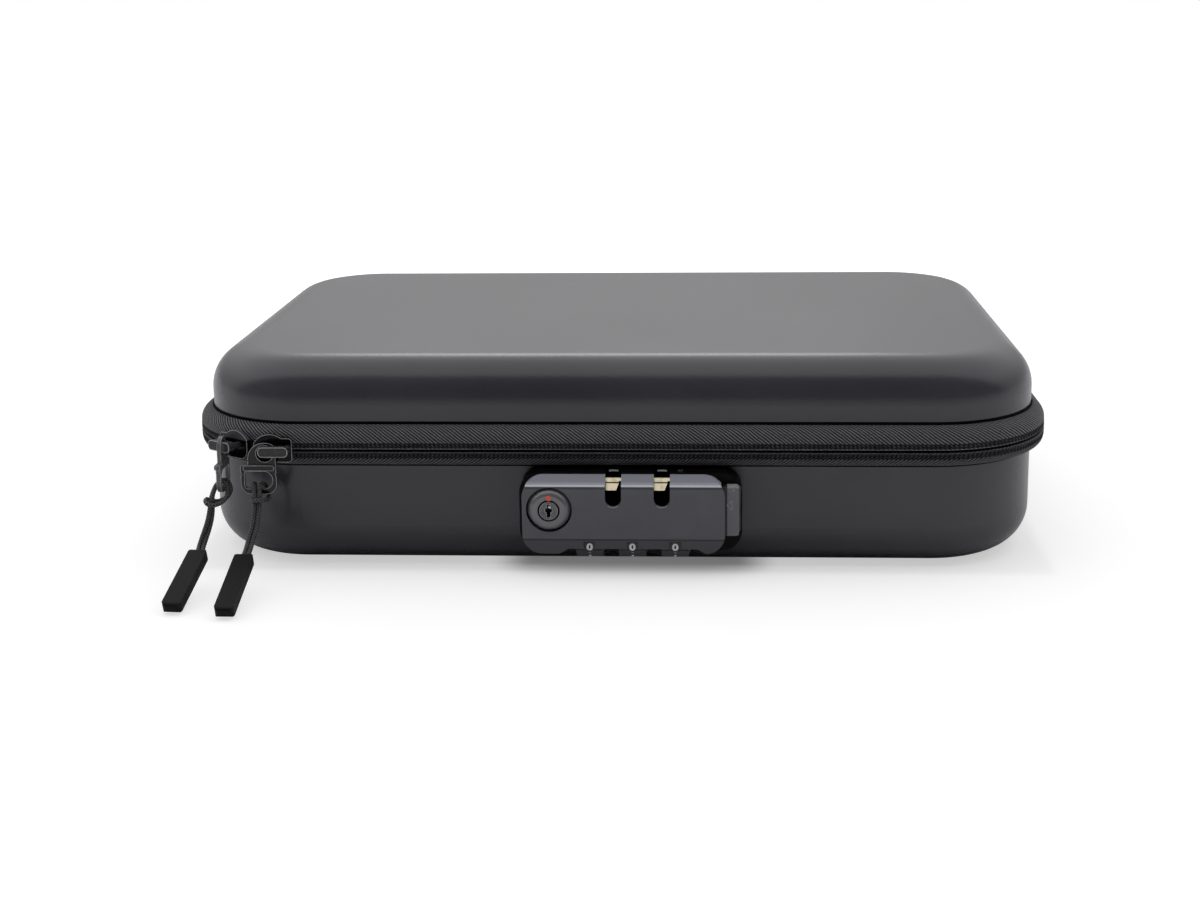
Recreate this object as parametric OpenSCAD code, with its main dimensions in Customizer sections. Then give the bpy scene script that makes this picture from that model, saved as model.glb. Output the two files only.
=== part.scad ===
// Zipped hard-shell case with a three-dial combination lock on its front wall.
// Origin: centre of the flat underside. +X to the right, +Y to the back, +Z up. Millimetres.

/* [Case] */
// Length of the shells, left to right
case_l = 254; // [225:1:300]
// Depth of the shells, front to back
case_w = 166; // [140:1:220]
// Height of the closed case
case_h = 63.2; // [58:0.2:80]
// Radius of the upright corners
corner_r = 33; // [30:0.5:40]
// Radius of the lid's top edge
lid_edge_r = 13; // [9:0.5:15]
// Radius of the base's bottom edge
base_edge_r = 13; // [9:0.5:13]
// Thickness of the moulded shells
shell_t = 3.2; // [2.4:0.1:4]
// Thickness of the fabric lining
lining_t = 0.8; // [0.5:0.1:1.2]

/* [Zip] */
// Height of the middle of the zip
zip_z = 37.4; // [37:0.1:38]
// Gap between the two tapes
zip_slit = 0.8; // [0.7:0.1:1]
// How far the zip band stands out of the walls
band_bulge = 4; // [3.6:0.1:4]
// Thickness of the zip tape
tape_t = 1; // [0.7:0.1:1.1]
// Height of the upper tape, from the slit to the lid's crease
upper_band_h = 6.8; // [6:0.1:8]
// Height of the lower tape, from the slit to its bottom edge
lower_band_h = 4.4; // [4.2:0.1:4.8]
// Radius of the zip coil
coil_r = 0.8; // [0.6:0.05:0.85]
// Length of a slider
slider_l = 11.2; // [10.6:0.1:11.6]
// Angle of the corner slider round the corner
corner_slider_a = 31.7; // [31.2:0.1:32.2]

/* [Pulls] */
// Width of a puller
puller_w = 10.5; // [10:0.1:11]
// Thickness of a puller
puller_t = 1.2; // [1:0.1:1.3]
// Drop from a puller's eye to its lower edge
puller_drop = 13.6; // [13.4:0.1:13.8]
// Diameter of the pull cords
cord_d = 1.3; // [1:0.1:1.3]
// Length of a tag
tag_l = 26.4; // [22:0.2:27]
// Width of a tag
tag_w = 5.5; // [4.5:0.1:7]
// Thickness of a tag
tag_t = 3.2; // [2.8:0.1:3.4]

/* [Lock] */
// Width of the lock's cover
lock_w = 59; // [58:0.5:62]
// Height of the lock's cover
lock_h = 23.3; // [22.8:0.1:23.8]
// Height of the lock's lowest edge above the floor
lock_z = 8.4; // [8:0.1:8.7]
// Middle of the cover, right of the case's middle
lock_x = 3.25; // [-20:0.25:20]
// How far the lock's face stands out of the wall
lock_out = 12; // [11.8:0.1:13]
// Radius of the cover's corners
lock_corner_r = 6; // [4:0.5:6.5]
// Thickness of the cover's walls
cover_t = 1.4; // [1:0.1:1.5]
// Radius of the number dials
dial_r = 5; // [4.6:0.1:5]
// Width of a dial
dial_w = 8; // [6:0.1:8.4]
// Distance between the dials
dial_pitch = 12.5; // [11.5:0.1:12.8]
// Width of the two slots for the pullers
slot_w = 4.7; // [3.5:0.1:5]
// Distance between the two slots
slot_pitch = 14.15; // [12:0.05:15]
// Radius of the key plug
plug_r = 3.2; // [2.4:0.1:3.4]
// Radius of the ring round the key plug
ring_outer_r = 6.5; // [5.6:0.1:6.8]
// How far the release button travels
release_travel = 3.5; // [2:0.1:3.5]

/* [Hidden] */
$fn = 48;

// Small clearance between pieces of one body, and the running fit of a shaft in its hole
seat_gap = 0.05;
run_gap = 0.05;
// Clearance between pieces that move past each other
move_gap = 0.3;

// Corner axes of the rounded plan
corner_x = case_l / 2 - corner_r;
corner_y = case_w / 2 - corner_r;
// The front slider stands a little past the end of the straight front
slider_past = 5.2;
front_slider_x = corner_x + slider_past;

// Rims of the two shells, a little above and below the zip
rim_gap_low = 3.4;
rim_gap_high = 4.6;
base_rim_z = zip_z - rim_gap_low;
lid_rim_z = zip_z + rim_gap_high;
binding_t = 0.6;
binding_h = 4;
wall_in = shell_t + lining_t;

// Slider plates, measured outwards from the shells' wall
plate_t = 1.4;
plate_out = band_bulge + move_gap;
plate_face = plate_out + plate_t;
inner_plate_t = 1.2;
inner_plate_out = -0.5;
inner_plate_h = 2.4;
slider_low = 3;
slider_high = 4.1;
nose_shift = 1.1;
plate_left = -slider_l / 2 - nose_shift;
plate_right = slider_l / 2 - nose_shift;
plate_round = 0.9;
nose_r = 3;
crest_r = 5.5;
crest_x = 2;
crest_h = 1.25;
post_t = 0.5;
post_l = 3;
rib_t = 0.3;

// Crown, the bridge that holds the puller's eye
crown_z = 1.25;
leg_x = 3.3;
leg_r = 1;
bar_w = 2.4;
bar_h = 2.8;
bar_r = 1.1;
crown_out = plate_face + 3.7;

// Pullers, measured from the axis on which each one swings
// The head's circle is given by its radius and the drop of its middle
eye_r = 2.6;
front_eye_drop = 1.3;
front_head = [5.05, 3.15];
corner_eye_drop = 0.3;
corner_head = [3.5, 0.6];
puller_top = 4.75;
puller_low_r = 3;
puller_high_r = 0.8;
hole_w = 8.5;
hole_bar = 1.5;
hole_r = 1;
ledge_h = 1.6;
ledge_t = 0.6;
ledge_in = 1;
front_shift = -2.1;
front_puller_out = plate_face + move_gap;

// Lock's inner layout, measured outwards from the wall
lock_left = lock_x - lock_w / 2;
lock_right = lock_x + lock_w / 2;
lock_top = lock_z + lock_h;
body_t = 8;
body_left = lock_left - 1.1;
body_right = lock_right + 5;
body_low = lock_z + 0.1;
body_top = lock_top + 0.3;
mid_low = lock_z + 1.6;
foot_w = 10.7;
foot_slope = 2.65;
strip_top = lock_z + 4.5;
strip_in = 0.8;
bevel_low = 2.7;
bevel_in = 3.8;
dial_mid_x = lock_x + 2.55;
dial_z = lock_z + 2.8;
dial_out = lock_out - 6;
pocket_gap = 0.25;
pocket_w = dial_w + 1;
spindle_r = 1.5;
sleeve_r = 2.6;
groove_r = 0.45;
groove_out = 0.15;
digit_count = 10;
window_w = 3.4;
window_top = lock_z + 4;
key_x = lock_left + 7.9;
key_z = lock_z + 13.6;
ring_gap = 0.2;
ring_rise = 1;
ring_edge = 0.4;
ring_flat = 0.8;
plug_low = 2.8;
plug_dome = 0.3;
plug_dome_in = 0.5;
keyway_l = 3.8;
keyway_w = 1;
keyway_deep = 6;
cam_low = 1.4;
cam_t = 1.3;
cam_reach = 0.9;
cam_w = 3.2;
slot_mid_x = lock_x + 4.16;
slot_low = lock_top - 8.85;
slot_back = 1;
button_low = lock_z + 5.6;
button_high = lock_z + 20.5;
button_out = body_t + 2.9;
button_end = lock_right + 4.65;
button_play = 0.25;
button_step = 0.6;
tail_in = 0.6;
tail_out = body_t + 2.2;
button_in = 3.5;
button_r = 1.6;
bar_low = lock_top - 2.2;
bar_top = lock_top - 1.1;
hook_low = lock_top - 5.1;
latch_t = 1.1;
latch_out = body_t - 1.2;
latch_leg_w = 2.2;
latch_past = 3.7;
hook_left = 3.2;
hook_right = 0.8;
hook_foot = 1.7;
block_h = 4;
block_out = body_t + 1.6;
spring_r = 0.9;
wire_r = 0.18;
spring_turns = 6;
spring_z = lock_z + 13.6;
spring_out = body_t + 1.3;
lug_w = 1.2;
lug_h = 3;
lug_out = body_t + 2.1;
spring_left = lock_x + 15.6;
reset_x = lock_x + 16.6;
reset_out = 5.2;
reset_l = 5.1;
reset_rise = 0.3;
reset_deep = 6.2;
reset_r = 0.8;
reset_travel = 1;
leaf_t = 0.4;
leaf_in = 4;
leaf_rise = 0.9;
leaf_low = dial_z + dial_r + pocket_gap + leaf_rise;
detent_r = 0.5;
screw_r = 1.5;
screw_head_r = 2.8;
screw_head_t = 1.6;
screw_reach = 5;
screw_slot_l = 3.2;
screw_slot_w = 0.6;
screw_low = lock_z + 7.2;
screw_high = lock_z + 19.1;
screw_left = body_left + 3.5;
screw_right = body_right - 4.5;
backplate_t = 1.2;
backplate_low = lock_z + 5.4;
backplate_high = lock_z + 21.1;
backplate_r = 2;

// Routes of the pull cords. Each point is [x from the left front corner's axis, distance out of
// the front wall, z, half the distance between the two strands]. One strand runs up from the tag,
// through the puller's hole, round behind and across the front of the pair, and the other strand
// mirrors it.
front_route = [
    [-12.35, 22.9, 9.05, 0.68], [-12.3, 20, 10, 0.68], [-12.2, 17.2, 11.1, 0.68],
    [-11.9, 14.9, 13.2, 0.68], [-11.2, 13.2, 16.1, 0.68], [-10.75, 12, 19, 0.68],
    [-10.6, 10.9, 21.7, 0.68], [-10.7, 9.7, 24, 0.68], [-10.9, 8.6, 26, 0.75],
    [-11, 7.9, 27.4, 0.85], [-11, 6.7, 28, 1.1], [-10.8, 5.4, 27.4, 1.5],
    [-10.6, 4.8, 26, 1.8], [-10.5, 4.9, 24.7, 2], [-10.4, 5.8, 23.8, 2.1],
    [-10.4, 7.4, 23.5, 2.1], [-10.4, 9.2, 23.7, 2.1], [-10.4, 10.6, 24.1, 1.6],
    [-10.4, 11.2, 24.3, 0.9], [-10.4, 11.3, 24.3, 0]
];
corner_route = [
    [-26.95, 19.3, 9.05, 0.68], [-26.8, 16.4, 10, 0.68], [-26.7, 14.4, 11.4, 0.68],
    [-26.2, 13, 13.4, 0.68], [-25.5, 12, 15.7, 0.68], [-24.9, 11.2, 18, 0.68],
    [-24.5, 10.6, 20.4, 0.68], [-24.35, 10.1, 22.6, 0.68], [-24.3, 9.2, 24.7, 0.68],
    [-24, 7.2, 26.5, 0.7], [-23.4, 5.6, 27.8, 0.75], [-22.3, 4.8, 28.4, 0.85],
    [-20.9, 4.8, 27.7, 1.1], [-20.3, 5, 26.2, 1.6], [-20.2, 5.6, 24.8, 2],
    [-20.8, 6.8, 23.6, 2.1], [-22, 8.2, 22.9, 2.1], [-23.4, 9.4, 22.8, 2.1],
    [-24.8, 10, 23.2, 2], [-25.6, 10, 23.7, 1.4], [-25.9, 9.9, 24, 0.7], [-25.95, 9.9, 24, 0]
];
pair_half = 0.68;
// Ends of the tags' middle lines, in the same terms
front_tag = [[-12.3, 20, 10], [-12.4, 45.2, 2]];
corner_tag = [[-26.8, 16.4, 10], [-28.4, 41.5, 1.8]];
tag_side_r = 1.8;
tag_edge_r = 1.3;
tag_bore = 3.3;
tag_play = 0.1;
cord_sides = 8;

function unit(v) = v / norm(v);
function swung(n, t) = unit(n - (n * t) * t);
function tangent(p, i) = unit(p[min(i + 1, len(p) - 1)] - p[max(i - 1, 0)]);
// Directions across the route that turn no more than it does, one for each point
function normals(p, i, n) =
    i == len(p) ? [] :
    let (m = swung(n, tangent(p, i)))
    concat([m], normals(p, i + 1, m));
function ring(c, n, b, r, sides) =
    [for (k = [0 : sides - 1]) c + r * (cos(360 * k / sides) * n + sin(360 * k / sides) * b)];
// Both strands of a pull cord as one route in the case's frame. The pair lies side by side
// across the tag, and turns by "twist" degrees on its way up to the puller.
twist_from = 2;
twist_over = 6;
function pair_way(i, twist) =
    let (a = twist * min(1, max(0, (i - twist_from) / twist_over)))
    [cos(a), sin(a), 0];
function strand(route, twist, side) =
    [for (i = [0 : len(route) - 1])
        let (p = route[i])
        [p[0] - corner_x, -case_w / 2 - p[1], p[2]] + side * p[3] * pair_way(i, twist)];
function both_strands(route, twist) =
    let (a = strand(route, twist, -1), b = strand(route, twist, 1))
    concat(a, [for (i = [len(b) - 2 : -1 : 0]) b[i]]);

// One tube of triangles swept along a route
module swept_tube(p, r, sides, start) {
    count = len(p);
    n = normals(p, 0, start);
    points = concat(
        [for (i = [0 : count - 1]) each ring(p[i], n[i], cross(tangent(p, i), n[i]), r, sides)],
        [p[0], p[count - 1]]
    );
    walls = [for (i = [0 : count - 2], k = [0 : sides - 1])
        let (a = i * sides + k, b = i * sides + (k + 1) % sides)
        each [[a, a + sides, b], [b, a + sides, b + sides]]];
    caps = [for (k = [0 : sides - 1])
        let (m = (k + 1) % sides, last = (count - 1) * sides)
        each [[k, m, count * sides], [last + m, last + k, count * sides + 1]]];
    polyhedron(points, concat(walls, caps));
}

// Draws in the front wall's plane: X to the right, Y up, and extrusions grow out of the wall
module on_front() {
    translate([0, -case_w / 2, 0]) rotate([90, 0, 0]) children();
}

// Draws a section of Y (distance out of the front wall) and Z, extruded from x0 to x1
module along_front(x0, x1) {
    translate([x0, -case_w / 2, 0]) rotate([0, 0, -90]) rotate([90, 0, 0])
        mirror([0, 0, 1]) linear_extrude(x1 - x0) children();
}

// A shaft or hole along X, at a distance out of the front wall
module rod_x(x0, x1, out, z, r) {
    translate([x0, -case_w / 2 - out, z]) rotate([0, 90, 0]) cylinder(h = x1 - x0, r = r);
}

module rounded_rect(x0, y0, x1, y1, r) {
    union() {
        translate([x0 + r, y0]) square([x1 - x0 - 2 * r, y1 - y0]);
        translate([x0, y0 + r]) square([x1 - x0, y1 - y0 - 2 * r]);
        for (x = [x0 + r, x1 - r], y = [y0 + r, y1 - r]) translate([x, y]) circle(r);
    }
}

// Carries a section round the case. Its X is the distance from the corners' axes.
module carried(sides, back) {
    for (a = [0, 90, 180, 270])
        translate([(a == 0 || a == 270) ? corner_x : -corner_x, a < 180 ? corner_y : -corner_y, 0])
            rotate([0, 0, a]) rotate_extrude(angle = 90) children();
    for (a = back ? [0, 90, 180, 270] : [0, 180, 270])
        rotate([0, 0, a])
            translate([a % 180 == 0 ? corner_x : corner_y, a % 180 == 0 ? corner_y : corner_x, 0])
                rotate([90, 0, 0])
                    linear_extrude(2 * (a % 180 == 0 ? corner_y : corner_x)) children();
}

// Section of one tray's outer form, closed at the top, rounded by r at its top edge
module tray_form(reach, h, r) {
    union() {
        square([reach - r, h]);
        square([reach, h - r]);
        translate([reach - r, h - r]) intersection() {
            circle(r);
            square(r);
        }
    }
}

module tray_section(reach, h, r, t) {
    difference() {
        tray_form(reach, h, r);
        translate([0, -1]) tray_form(reach - t, h - t + 1, r - t);
    }
}

// A tray with its rim at z = 0 and its closed face at z = h
module tray(reach, h, r, t) {
    carried(back = true) tray_section(reach, h, r, t);
    translate([-corner_x, -corner_y, h - t]) cube([2 * corner_x, 2 * corner_y, t]);
}

module lid_shell() {
    color([0.13, 0.13, 0.14]) translate([0, 0, lid_rim_z])
        tray(corner_r, case_h - lid_rim_z, lid_edge_r, shell_t);
}

module lid_lining() {
    color([0.2, 0.2, 0.21]) translate([0, 0, lid_rim_z])
        tray(corner_r - shell_t, case_h - lid_rim_z - shell_t, lid_edge_r - shell_t, lining_t);
}

// Fabric strip folded over a rim: a band on the lining and a cap on the rim
module binding_section() {
    translate([corner_r - wall_in - binding_t, 0]) square([binding_t, binding_h]);
    translate([corner_r - wall_in - binding_t, -binding_t])
        square([wall_in + binding_t - 0.2, binding_t]);
}

module lid_binding() {
    color([0.08, 0.08, 0.09]) translate([0, 0, lid_rim_z]) carried(back = true) binding_section();
}

module base_binding() {
    color([0.08, 0.08, 0.09]) translate([0, 0, base_rim_z]) mirror([0, 0, 1])
        carried(back = true) binding_section();
}

module screw_places() {
    on_front() for (x = [screw_left, screw_right], z = [screw_low, screw_high])
        translate([x, z, 0]) children();
}

// Clearance holes for the lock's screws through the front wall
module screw_holes() {
    screw_places() translate([0, 0, -wall_in - 1]) cylinder(h = wall_in + 2, r = screw_r + seat_gap);
}

module base_shell() {
    color([0.13, 0.13, 0.14]) difference() {
        translate([0, 0, base_rim_z]) mirror([0, 0, 1])
            tray(corner_r, base_rim_z, base_edge_r, shell_t);
        screw_holes();
    }
}

module base_lining() {
    color([0.2, 0.2, 0.21]) difference() {
        translate([0, 0, base_rim_z]) mirror([0, 0, 1])
            tray(corner_r - shell_t, base_rim_z - shell_t, base_edge_r - shell_t, lining_t);
        screw_holes();
    }
}

// Outer form of half the zip band, from the slit at 0 up to h
module band_form(bulge, h, r) {
    union() {
        square([bulge, h - r]);
        intersection() {
            translate([bulge - r, h - r]) circle(r);
            translate([0, h - r]) square([bulge, r]);
        }
        if (bulge > r) square([bulge - r, h]);
    }
}

module tape_section(h, r) {
    translate([corner_r, 0]) difference() {
        band_form(band_bulge, h, r);
        translate([0, -1]) band_form(band_bulge - tape_t, h - tape_t + 1, r - tape_t);
    }
}

upper_round = band_bulge + 0.2;
lower_round = 2.8;

module zip_tape_upper() {
    color([0.07, 0.07, 0.08]) translate([0, 0, zip_z + zip_slit / 2])
        carried(back = false) tape_section(upper_band_h, upper_round);
}

module zip_tape_lower() {
    color([0.07, 0.07, 0.08]) translate([0, 0, zip_z - zip_slit / 2]) mirror([0, 0, 1])
        carried(back = false) tape_section(lower_band_h, lower_round);
}

module coil_section() {
    translate([corner_r + band_bulge - tape_t - coil_r - seat_gap, coil_r]) circle(coil_r);
}

module zip_coil_upper() {
    color([0.05, 0.05, 0.05]) translate([0, 0, zip_z + zip_slit / 2])
        carried(back = false) coil_section();
}

module zip_coil_lower() {
    color([0.05, 0.05, 0.05]) translate([0, 0, zip_z - zip_slit / 2]) mirror([0, 0, 1])
        carried(back = false) coil_section();
}

// Fabric hinge along the back, in line with the zip band
module hinge_strip() {
    hinge_l = 2 * corner_x - 2 * move_gap;
    color([0.07, 0.07, 0.08]) rotate([0, 0, 90])
        translate([corner_y, hinge_l / 2, zip_z]) rotate([90, 0, 0]) linear_extrude(hinge_l)
            union() {
                translate([0, zip_slit / 2]) tape_section(upper_band_h, upper_round);
                translate([0, -zip_slit / 2]) mirror([0, 1]) tape_section(lower_band_h, lower_round);
                translate([corner_r + band_bulge - tape_t, -zip_slit / 2]) square([tape_t, zip_slit]);
            }
}

// Puts a piece drawn on the straight front wall at each slider's place on the zip.
// It is drawn with X along the zip, Y out of the wall and Z up, from the zip's middle line.
module at_front_slider() {
    translate([-front_slider_x, -case_w / 2, zip_z]) mirror([0, 1, 0]) children();
}

module at_corner_slider() {
    translate([-corner_x, -corner_y, zip_z]) rotate([0, 0, -corner_slider_a])
        translate([0, -corner_r, 0]) mirror([0, 1, 0]) mirror([1, 0, 0]) children();
}

// Face of the slider's outer plate: a pointed nose at the left, and a crest that stands over it
module slider_outline() {
    rounded_rect(plate_left + nose_r, -slider_low, plate_right, slider_high, plate_round);
    intersection() {
        translate([-crest_x, slider_high + crest_h - crest_r]) circle(crest_r);
        translate([plate_left, 0]) square([slider_l - plate_round, slider_high + crest_h + 1]);
    }
    translate([plate_left + nose_r, 0]) circle(nose_r);
}

// Y out of the wall: an extruded face in X and Z
module facing(out, t) {
    translate([0, out + t, 0]) rotate([90, 0, 0]) linear_extrude(t) children();
}

module slider_body() {
    facing(plate_out, plate_t) slider_outline();
    facing(inner_plate_out - inner_plate_t, inner_plate_t)
        rounded_rect(plate_left + 1.2, -inner_plate_h, plate_right - 0.7, inner_plate_h, 0.6);
    translate([plate_left + 1.5, inner_plate_out - 0.2, -inner_plate_h])
        cube([slider_l - 2.5, 1.5, rib_t]);
    translate([plate_left + 1.4, inner_plate_out - 0.2, -post_t / 2])
        cube([post_l, plate_out - inner_plate_out + 0.4, post_t]);
}

module slider_crown() {
    facing(crown_out - bar_w / 2, bar_w) translate([0, crown_z])
        rounded_rect(-leg_x - leg_r, -bar_h / 2, leg_x + leg_r, bar_h / 2, bar_r);
    for (x = [-leg_x, leg_x])
        translate([x, plate_face, crown_z]) rotate([-90, 0, 0])
            cylinder(h = crown_out - plate_face, r = leg_r);
}

module slider_front() {
    color([0.09, 0.09, 0.1]) at_front_slider() slider_body();
}

module crown_front() {
    color([0.09, 0.09, 0.1]) at_front_slider() slider_crown();
}

module slider_corner() {
    color([0.09, 0.09, 0.1]) at_corner_slider() slider_body();
}

module crown_corner() {
    color([0.09, 0.09, 0.1]) at_corner_slider() slider_crown();
}

// Puller hanging from the axis of its eye, with a hole for the cord and a raised ledge.
// The hole is straight at the left and round at the right.
module puller(shift, eye_drop, head) {
    left = shift - puller_w / 2;
    right = shift + puller_w / 2;
    hole_low = -puller_drop + hole_bar;
    hole_top = -puller_top - ledge_h - 0.3;
    hole_round = (hole_top - hole_low) / 2;
    rotate([90, 0, 0]) {
        translate([0, 0, -puller_t / 2]) linear_extrude(puller_t) difference() {
            union() {
                intersection() {
                    union() {
                        translate([0, -head[1]]) circle(head[0]);
                        translate([-head[0], -puller_top - 1])
                            square([2 * head[0], puller_top + 1 - head[1]]);
                    }
                    translate([-head[0], -puller_top - 1]) square([right + head[0], puller_drop]);
                }
                rounded_rect(left, -puller_drop, right, -puller_top - 1, puller_low_r);
                rounded_rect(left, -puller_top - puller_low_r, right, -puller_top, puller_high_r);
            }
            translate([0, -eye_drop]) circle(eye_r);
            rounded_rect(shift - hole_w / 2, hole_low, shift + hole_w / 2 - hole_round, hole_top,
                         hole_r);
            translate([shift + hole_w / 2 - hole_round, hole_low + hole_round]) circle(hole_round);
        }
        translate([0, 0, puller_t / 2]) linear_extrude(ledge_t)
            rounded_rect(left + ledge_in, -puller_top - ledge_h, right - ledge_in / 2,
                         -puller_top - 0.1, 0.4);
    }
}

module puller_front() {
    color([0.1, 0.1, 0.11])
        translate([-front_slider_x - leg_x, -case_w / 2 - front_puller_out - puller_t / 2,
                   zip_z + crown_z])
            puller(front_shift, front_eye_drop, front_head);
}

// The corner puller hangs edge-on to the front, with its eye round the crown's bar
corner_eye_r = corner_r + crown_out;
corner_eye = [
    -corner_x - corner_eye_r * sin(corner_slider_a),
    -corner_y - corner_eye_r * cos(corner_slider_a),
    zip_z + crown_z
];

module puller_corner() {
    color([0.1, 0.1, 0.11]) translate(corner_eye) rotate([0, 0, -90]) puller(0, corner_eye_drop, corner_head);
}

module pull_cord_front() {
    color([0.05, 0.05, 0.05])
        swept_tube(both_strands(front_route, 0), cord_d / 2, cord_sides, [0, 0, 1]);
}

module pull_cord_corner() {
    color([0.05, 0.05, 0.05])
        swept_tube(both_strands(corner_route, 90), cord_d / 2, cord_sides, [0, 0, 1]);
}

// A moulded tag round the cord's ends. "ends" are its middle line's two ends.
module pull_tag(ends) {
    top = [ends[0][0] - corner_x, -case_w / 2 - ends[0][1], ends[0][2]];
    low = [ends[1][0] - corner_x, -case_w / 2 - ends[1][1], ends[1][2]];
    run = unit(low - top);
    yaw = atan2(run[1], run[0]);
    dip = asin(-run[2]);
    color([0.06, 0.06, 0.06]) difference() {
        translate(top) rotate([0, dip, yaw]) intersection() {
            translate([0, 0, -tag_t / 2]) linear_extrude(tag_t) union() {
                translate([0, -tag_w / 2]) rounded_rect(0, 0, tag_l, tag_w, tag_side_r);
            }
            rotate([90, 0, 0]) translate([0, 0, -tag_w / 2]) linear_extrude(tag_w)
                translate([0, -tag_t / 2]) rounded_rect(0, 0, tag_l, tag_t, tag_edge_r);
        }
        for (side = [-1, 1])
            translate(top) rotate([0, dip, yaw]) translate([0, side * pair_half, 0])
                translate([-1, 0, 0]) rotate([0, 90, 0])
                    cylinder(h = tag_bore + 1, r = cord_d / 2 + tag_play);
    }
}

module pull_tag_front() {
    pull_tag(front_tag);
}

module pull_tag_corner() {
    pull_tag(corner_tag);
}

function dial_x(i) = dial_mid_x + (i - 1) * dial_pitch;
function slot_x(i) = slot_mid_x + (i - 0.5) * slot_pitch;

// Room round each dial
module dial_pockets() {
    for (i = [0 : 2])
        rod_x(dial_x(i) - pocket_w / 2, dial_x(i) + pocket_w / 2, dial_out, dial_z,
              dial_r + pocket_gap);
}

// A slot with a round bottom, open at the top
module slot_shape() {
    for (i = [0, 1]) translate([slot_x(i), slot_low + slot_w / 2]) {
        circle(slot_w / 2);
        translate([-slot_w / 2, 0]) square([slot_w, lock_h]);
    }
}

// Groove in the body's face in which the latch slides
module latch_groove() {
    left = slot_x(0) - latch_past - release_travel - move_gap;
    right = lock_right - button_in + move_gap;
    leg_left = lock_right - button_in - latch_leg_w - release_travel - move_gap;
    translate([left, bar_low - move_gap]) square([right - left, bar_top - bar_low + 2 * move_gap]);
    for (i = [0, 1])
        translate([slot_x(i) - hook_left - release_travel - move_gap, hook_low - move_gap])
            square([hook_left + hook_foot + release_travel + 2 * move_gap, bar_low - hook_low + 1]);
    translate([leg_left, spring_z - block_h / 2 - move_gap])
        square([right - leg_left, bar_top - spring_z + block_h / 2 + move_gap]);
}

module lock_body() {
    color([0.04, 0.04, 0.045]) difference() {
        union() {
            on_front() linear_extrude(body_t)
                rounded_rect(body_left, body_low, body_right, body_top, lock_corner_r);
            on_front() translate([spring_left - lug_w, spring_z - lug_h / 2, body_t - 0.5])
                cube([lug_w, lug_h, lug_out - body_t + 0.5]);
        }
        dial_pockets();
        rod_x(dial_x(0) - pocket_w / 2 - 2, dial_x(2) + pocket_w / 2 + 2, dial_out, dial_z,
              spindle_r + seat_gap);
        on_front() translate([0, 0, leaf_in]) linear_extrude(body_t) {
            translate([dial_x(0) - pocket_w / 2 - 1, leaf_low])
                square([2 * dial_pitch + pocket_w + 2, 0.8]);
            for (i = [0 : 2]) translate([dial_x(i) - pocket_w / 2, dial_z + 2])
                square([pocket_w, leaf_low - dial_z - 1.5]);
        }
        on_front() translate([0, 0, slot_back]) linear_extrude(body_t) slot_shape();
        on_front() translate([0, 0, latch_out - pocket_gap]) linear_extrude(body_t) latch_groove();
        on_front() translate([key_x, key_z, cam_low - pocket_gap]) {
            cylinder(h = body_t, r = plug_r + run_gap);
            cylinder(h = cam_t + pocket_gap, r = plug_r + cam_reach + move_gap);
        }
        translate([reset_x, -case_w / 2 - reset_out, body_top - reset_deep])
            cylinder(h = reset_deep + 1, r = reset_r + run_gap);
        screw_places() cylinder(h = screw_reach + 0.3, r = screw_r + seat_gap);
    }
}

// Outline of the cover's face: a foot at each lower corner, and a raised edge between them
module cover_outline(inset) {
    difference() {
        rounded_rect(lock_left + inset, lock_z + inset, lock_right - inset, lock_top - inset,
                     lock_corner_r - inset);
        translate([0, inset]) polygon([
            [lock_left + foot_w, lock_z - 1], [lock_left + foot_w, lock_z],
            [lock_left + foot_w + foot_slope, mid_low],
            [lock_right - foot_w / 2 - foot_slope, mid_low], [lock_right - foot_w / 2, lock_z],
            [lock_right - foot_w / 2, lock_z - 1]
        ]);
    }
}

// Side view of the cover: a sloped strip at the bottom and a bevel at the top
module cover_side(inset) {
    polygon([
        [body_t - (inset > 0 ? 1 : 0), lock_z + inset],
        [lock_out - strip_in - inset, lock_z + inset], [lock_out - inset, strip_top + inset / 5],
        [lock_out - inset, lock_top - bevel_low - inset / 2],
        [lock_out - bevel_in - inset / 2, lock_top - inset / 1.5],
        [body_t - (inset > 0 ? 1 : 0), lock_top - inset / 1.5]
    ]);
}

module cover_form(inset) {
    intersection() {
        on_front() linear_extrude(lock_out + 1) cover_outline(inset);
        along_front(lock_left - 1, lock_right + 1) cover_side(inset);
    }
}

module lock_cover() {
    color([0.17, 0.17, 0.18]) difference() {
        cover_form(0);
        cover_form(cover_t);
        dial_pockets();
        on_front() {
            linear_extrude(lock_out + 1) slot_shape();
            translate([key_x, key_z, body_t - 1])
                cylinder(h = lock_out, r = ring_outer_r + ring_gap);
            for (i = [0 : 2]) translate([dial_x(i) - window_w / 2, lock_z, dial_out + 2])
                cube([window_w, window_top - lock_z, lock_out]);
            translate([lock_right - cover_t - 3, button_low - button_play, body_t - 1])
                cube([cover_t + 4, button_high - button_low + 2 * button_play,
                      button_out + button_play - body_t + 1]);
        }
    }
}

module dial(i) {
    color([0.08, 0.08, 0.085]) difference() {
        rod_x(dial_x(i) - dial_w / 2, dial_x(i) + dial_w / 2, dial_out, dial_z, dial_r);
        rod_x(dial_x(i) - dial_w, dial_x(i) + dial_w, dial_out, dial_z, sleeve_r + seat_gap);
        for (k = [0 : digit_count - 1])
            translate([dial_x(i) - dial_w, -case_w / 2 - dial_out, dial_z])
                rotate([360 * (k + 0.5) / digit_count, 0, 0])
                    translate([0, -dial_r - groove_out, 0]) rotate([0, 90, 0])
                        cylinder(h = 2 * dial_w, r = groove_r);
    }
}

module dial_1() { dial(0); }
module dial_2() { dial(1); }
module dial_3() { dial(2); }

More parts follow.
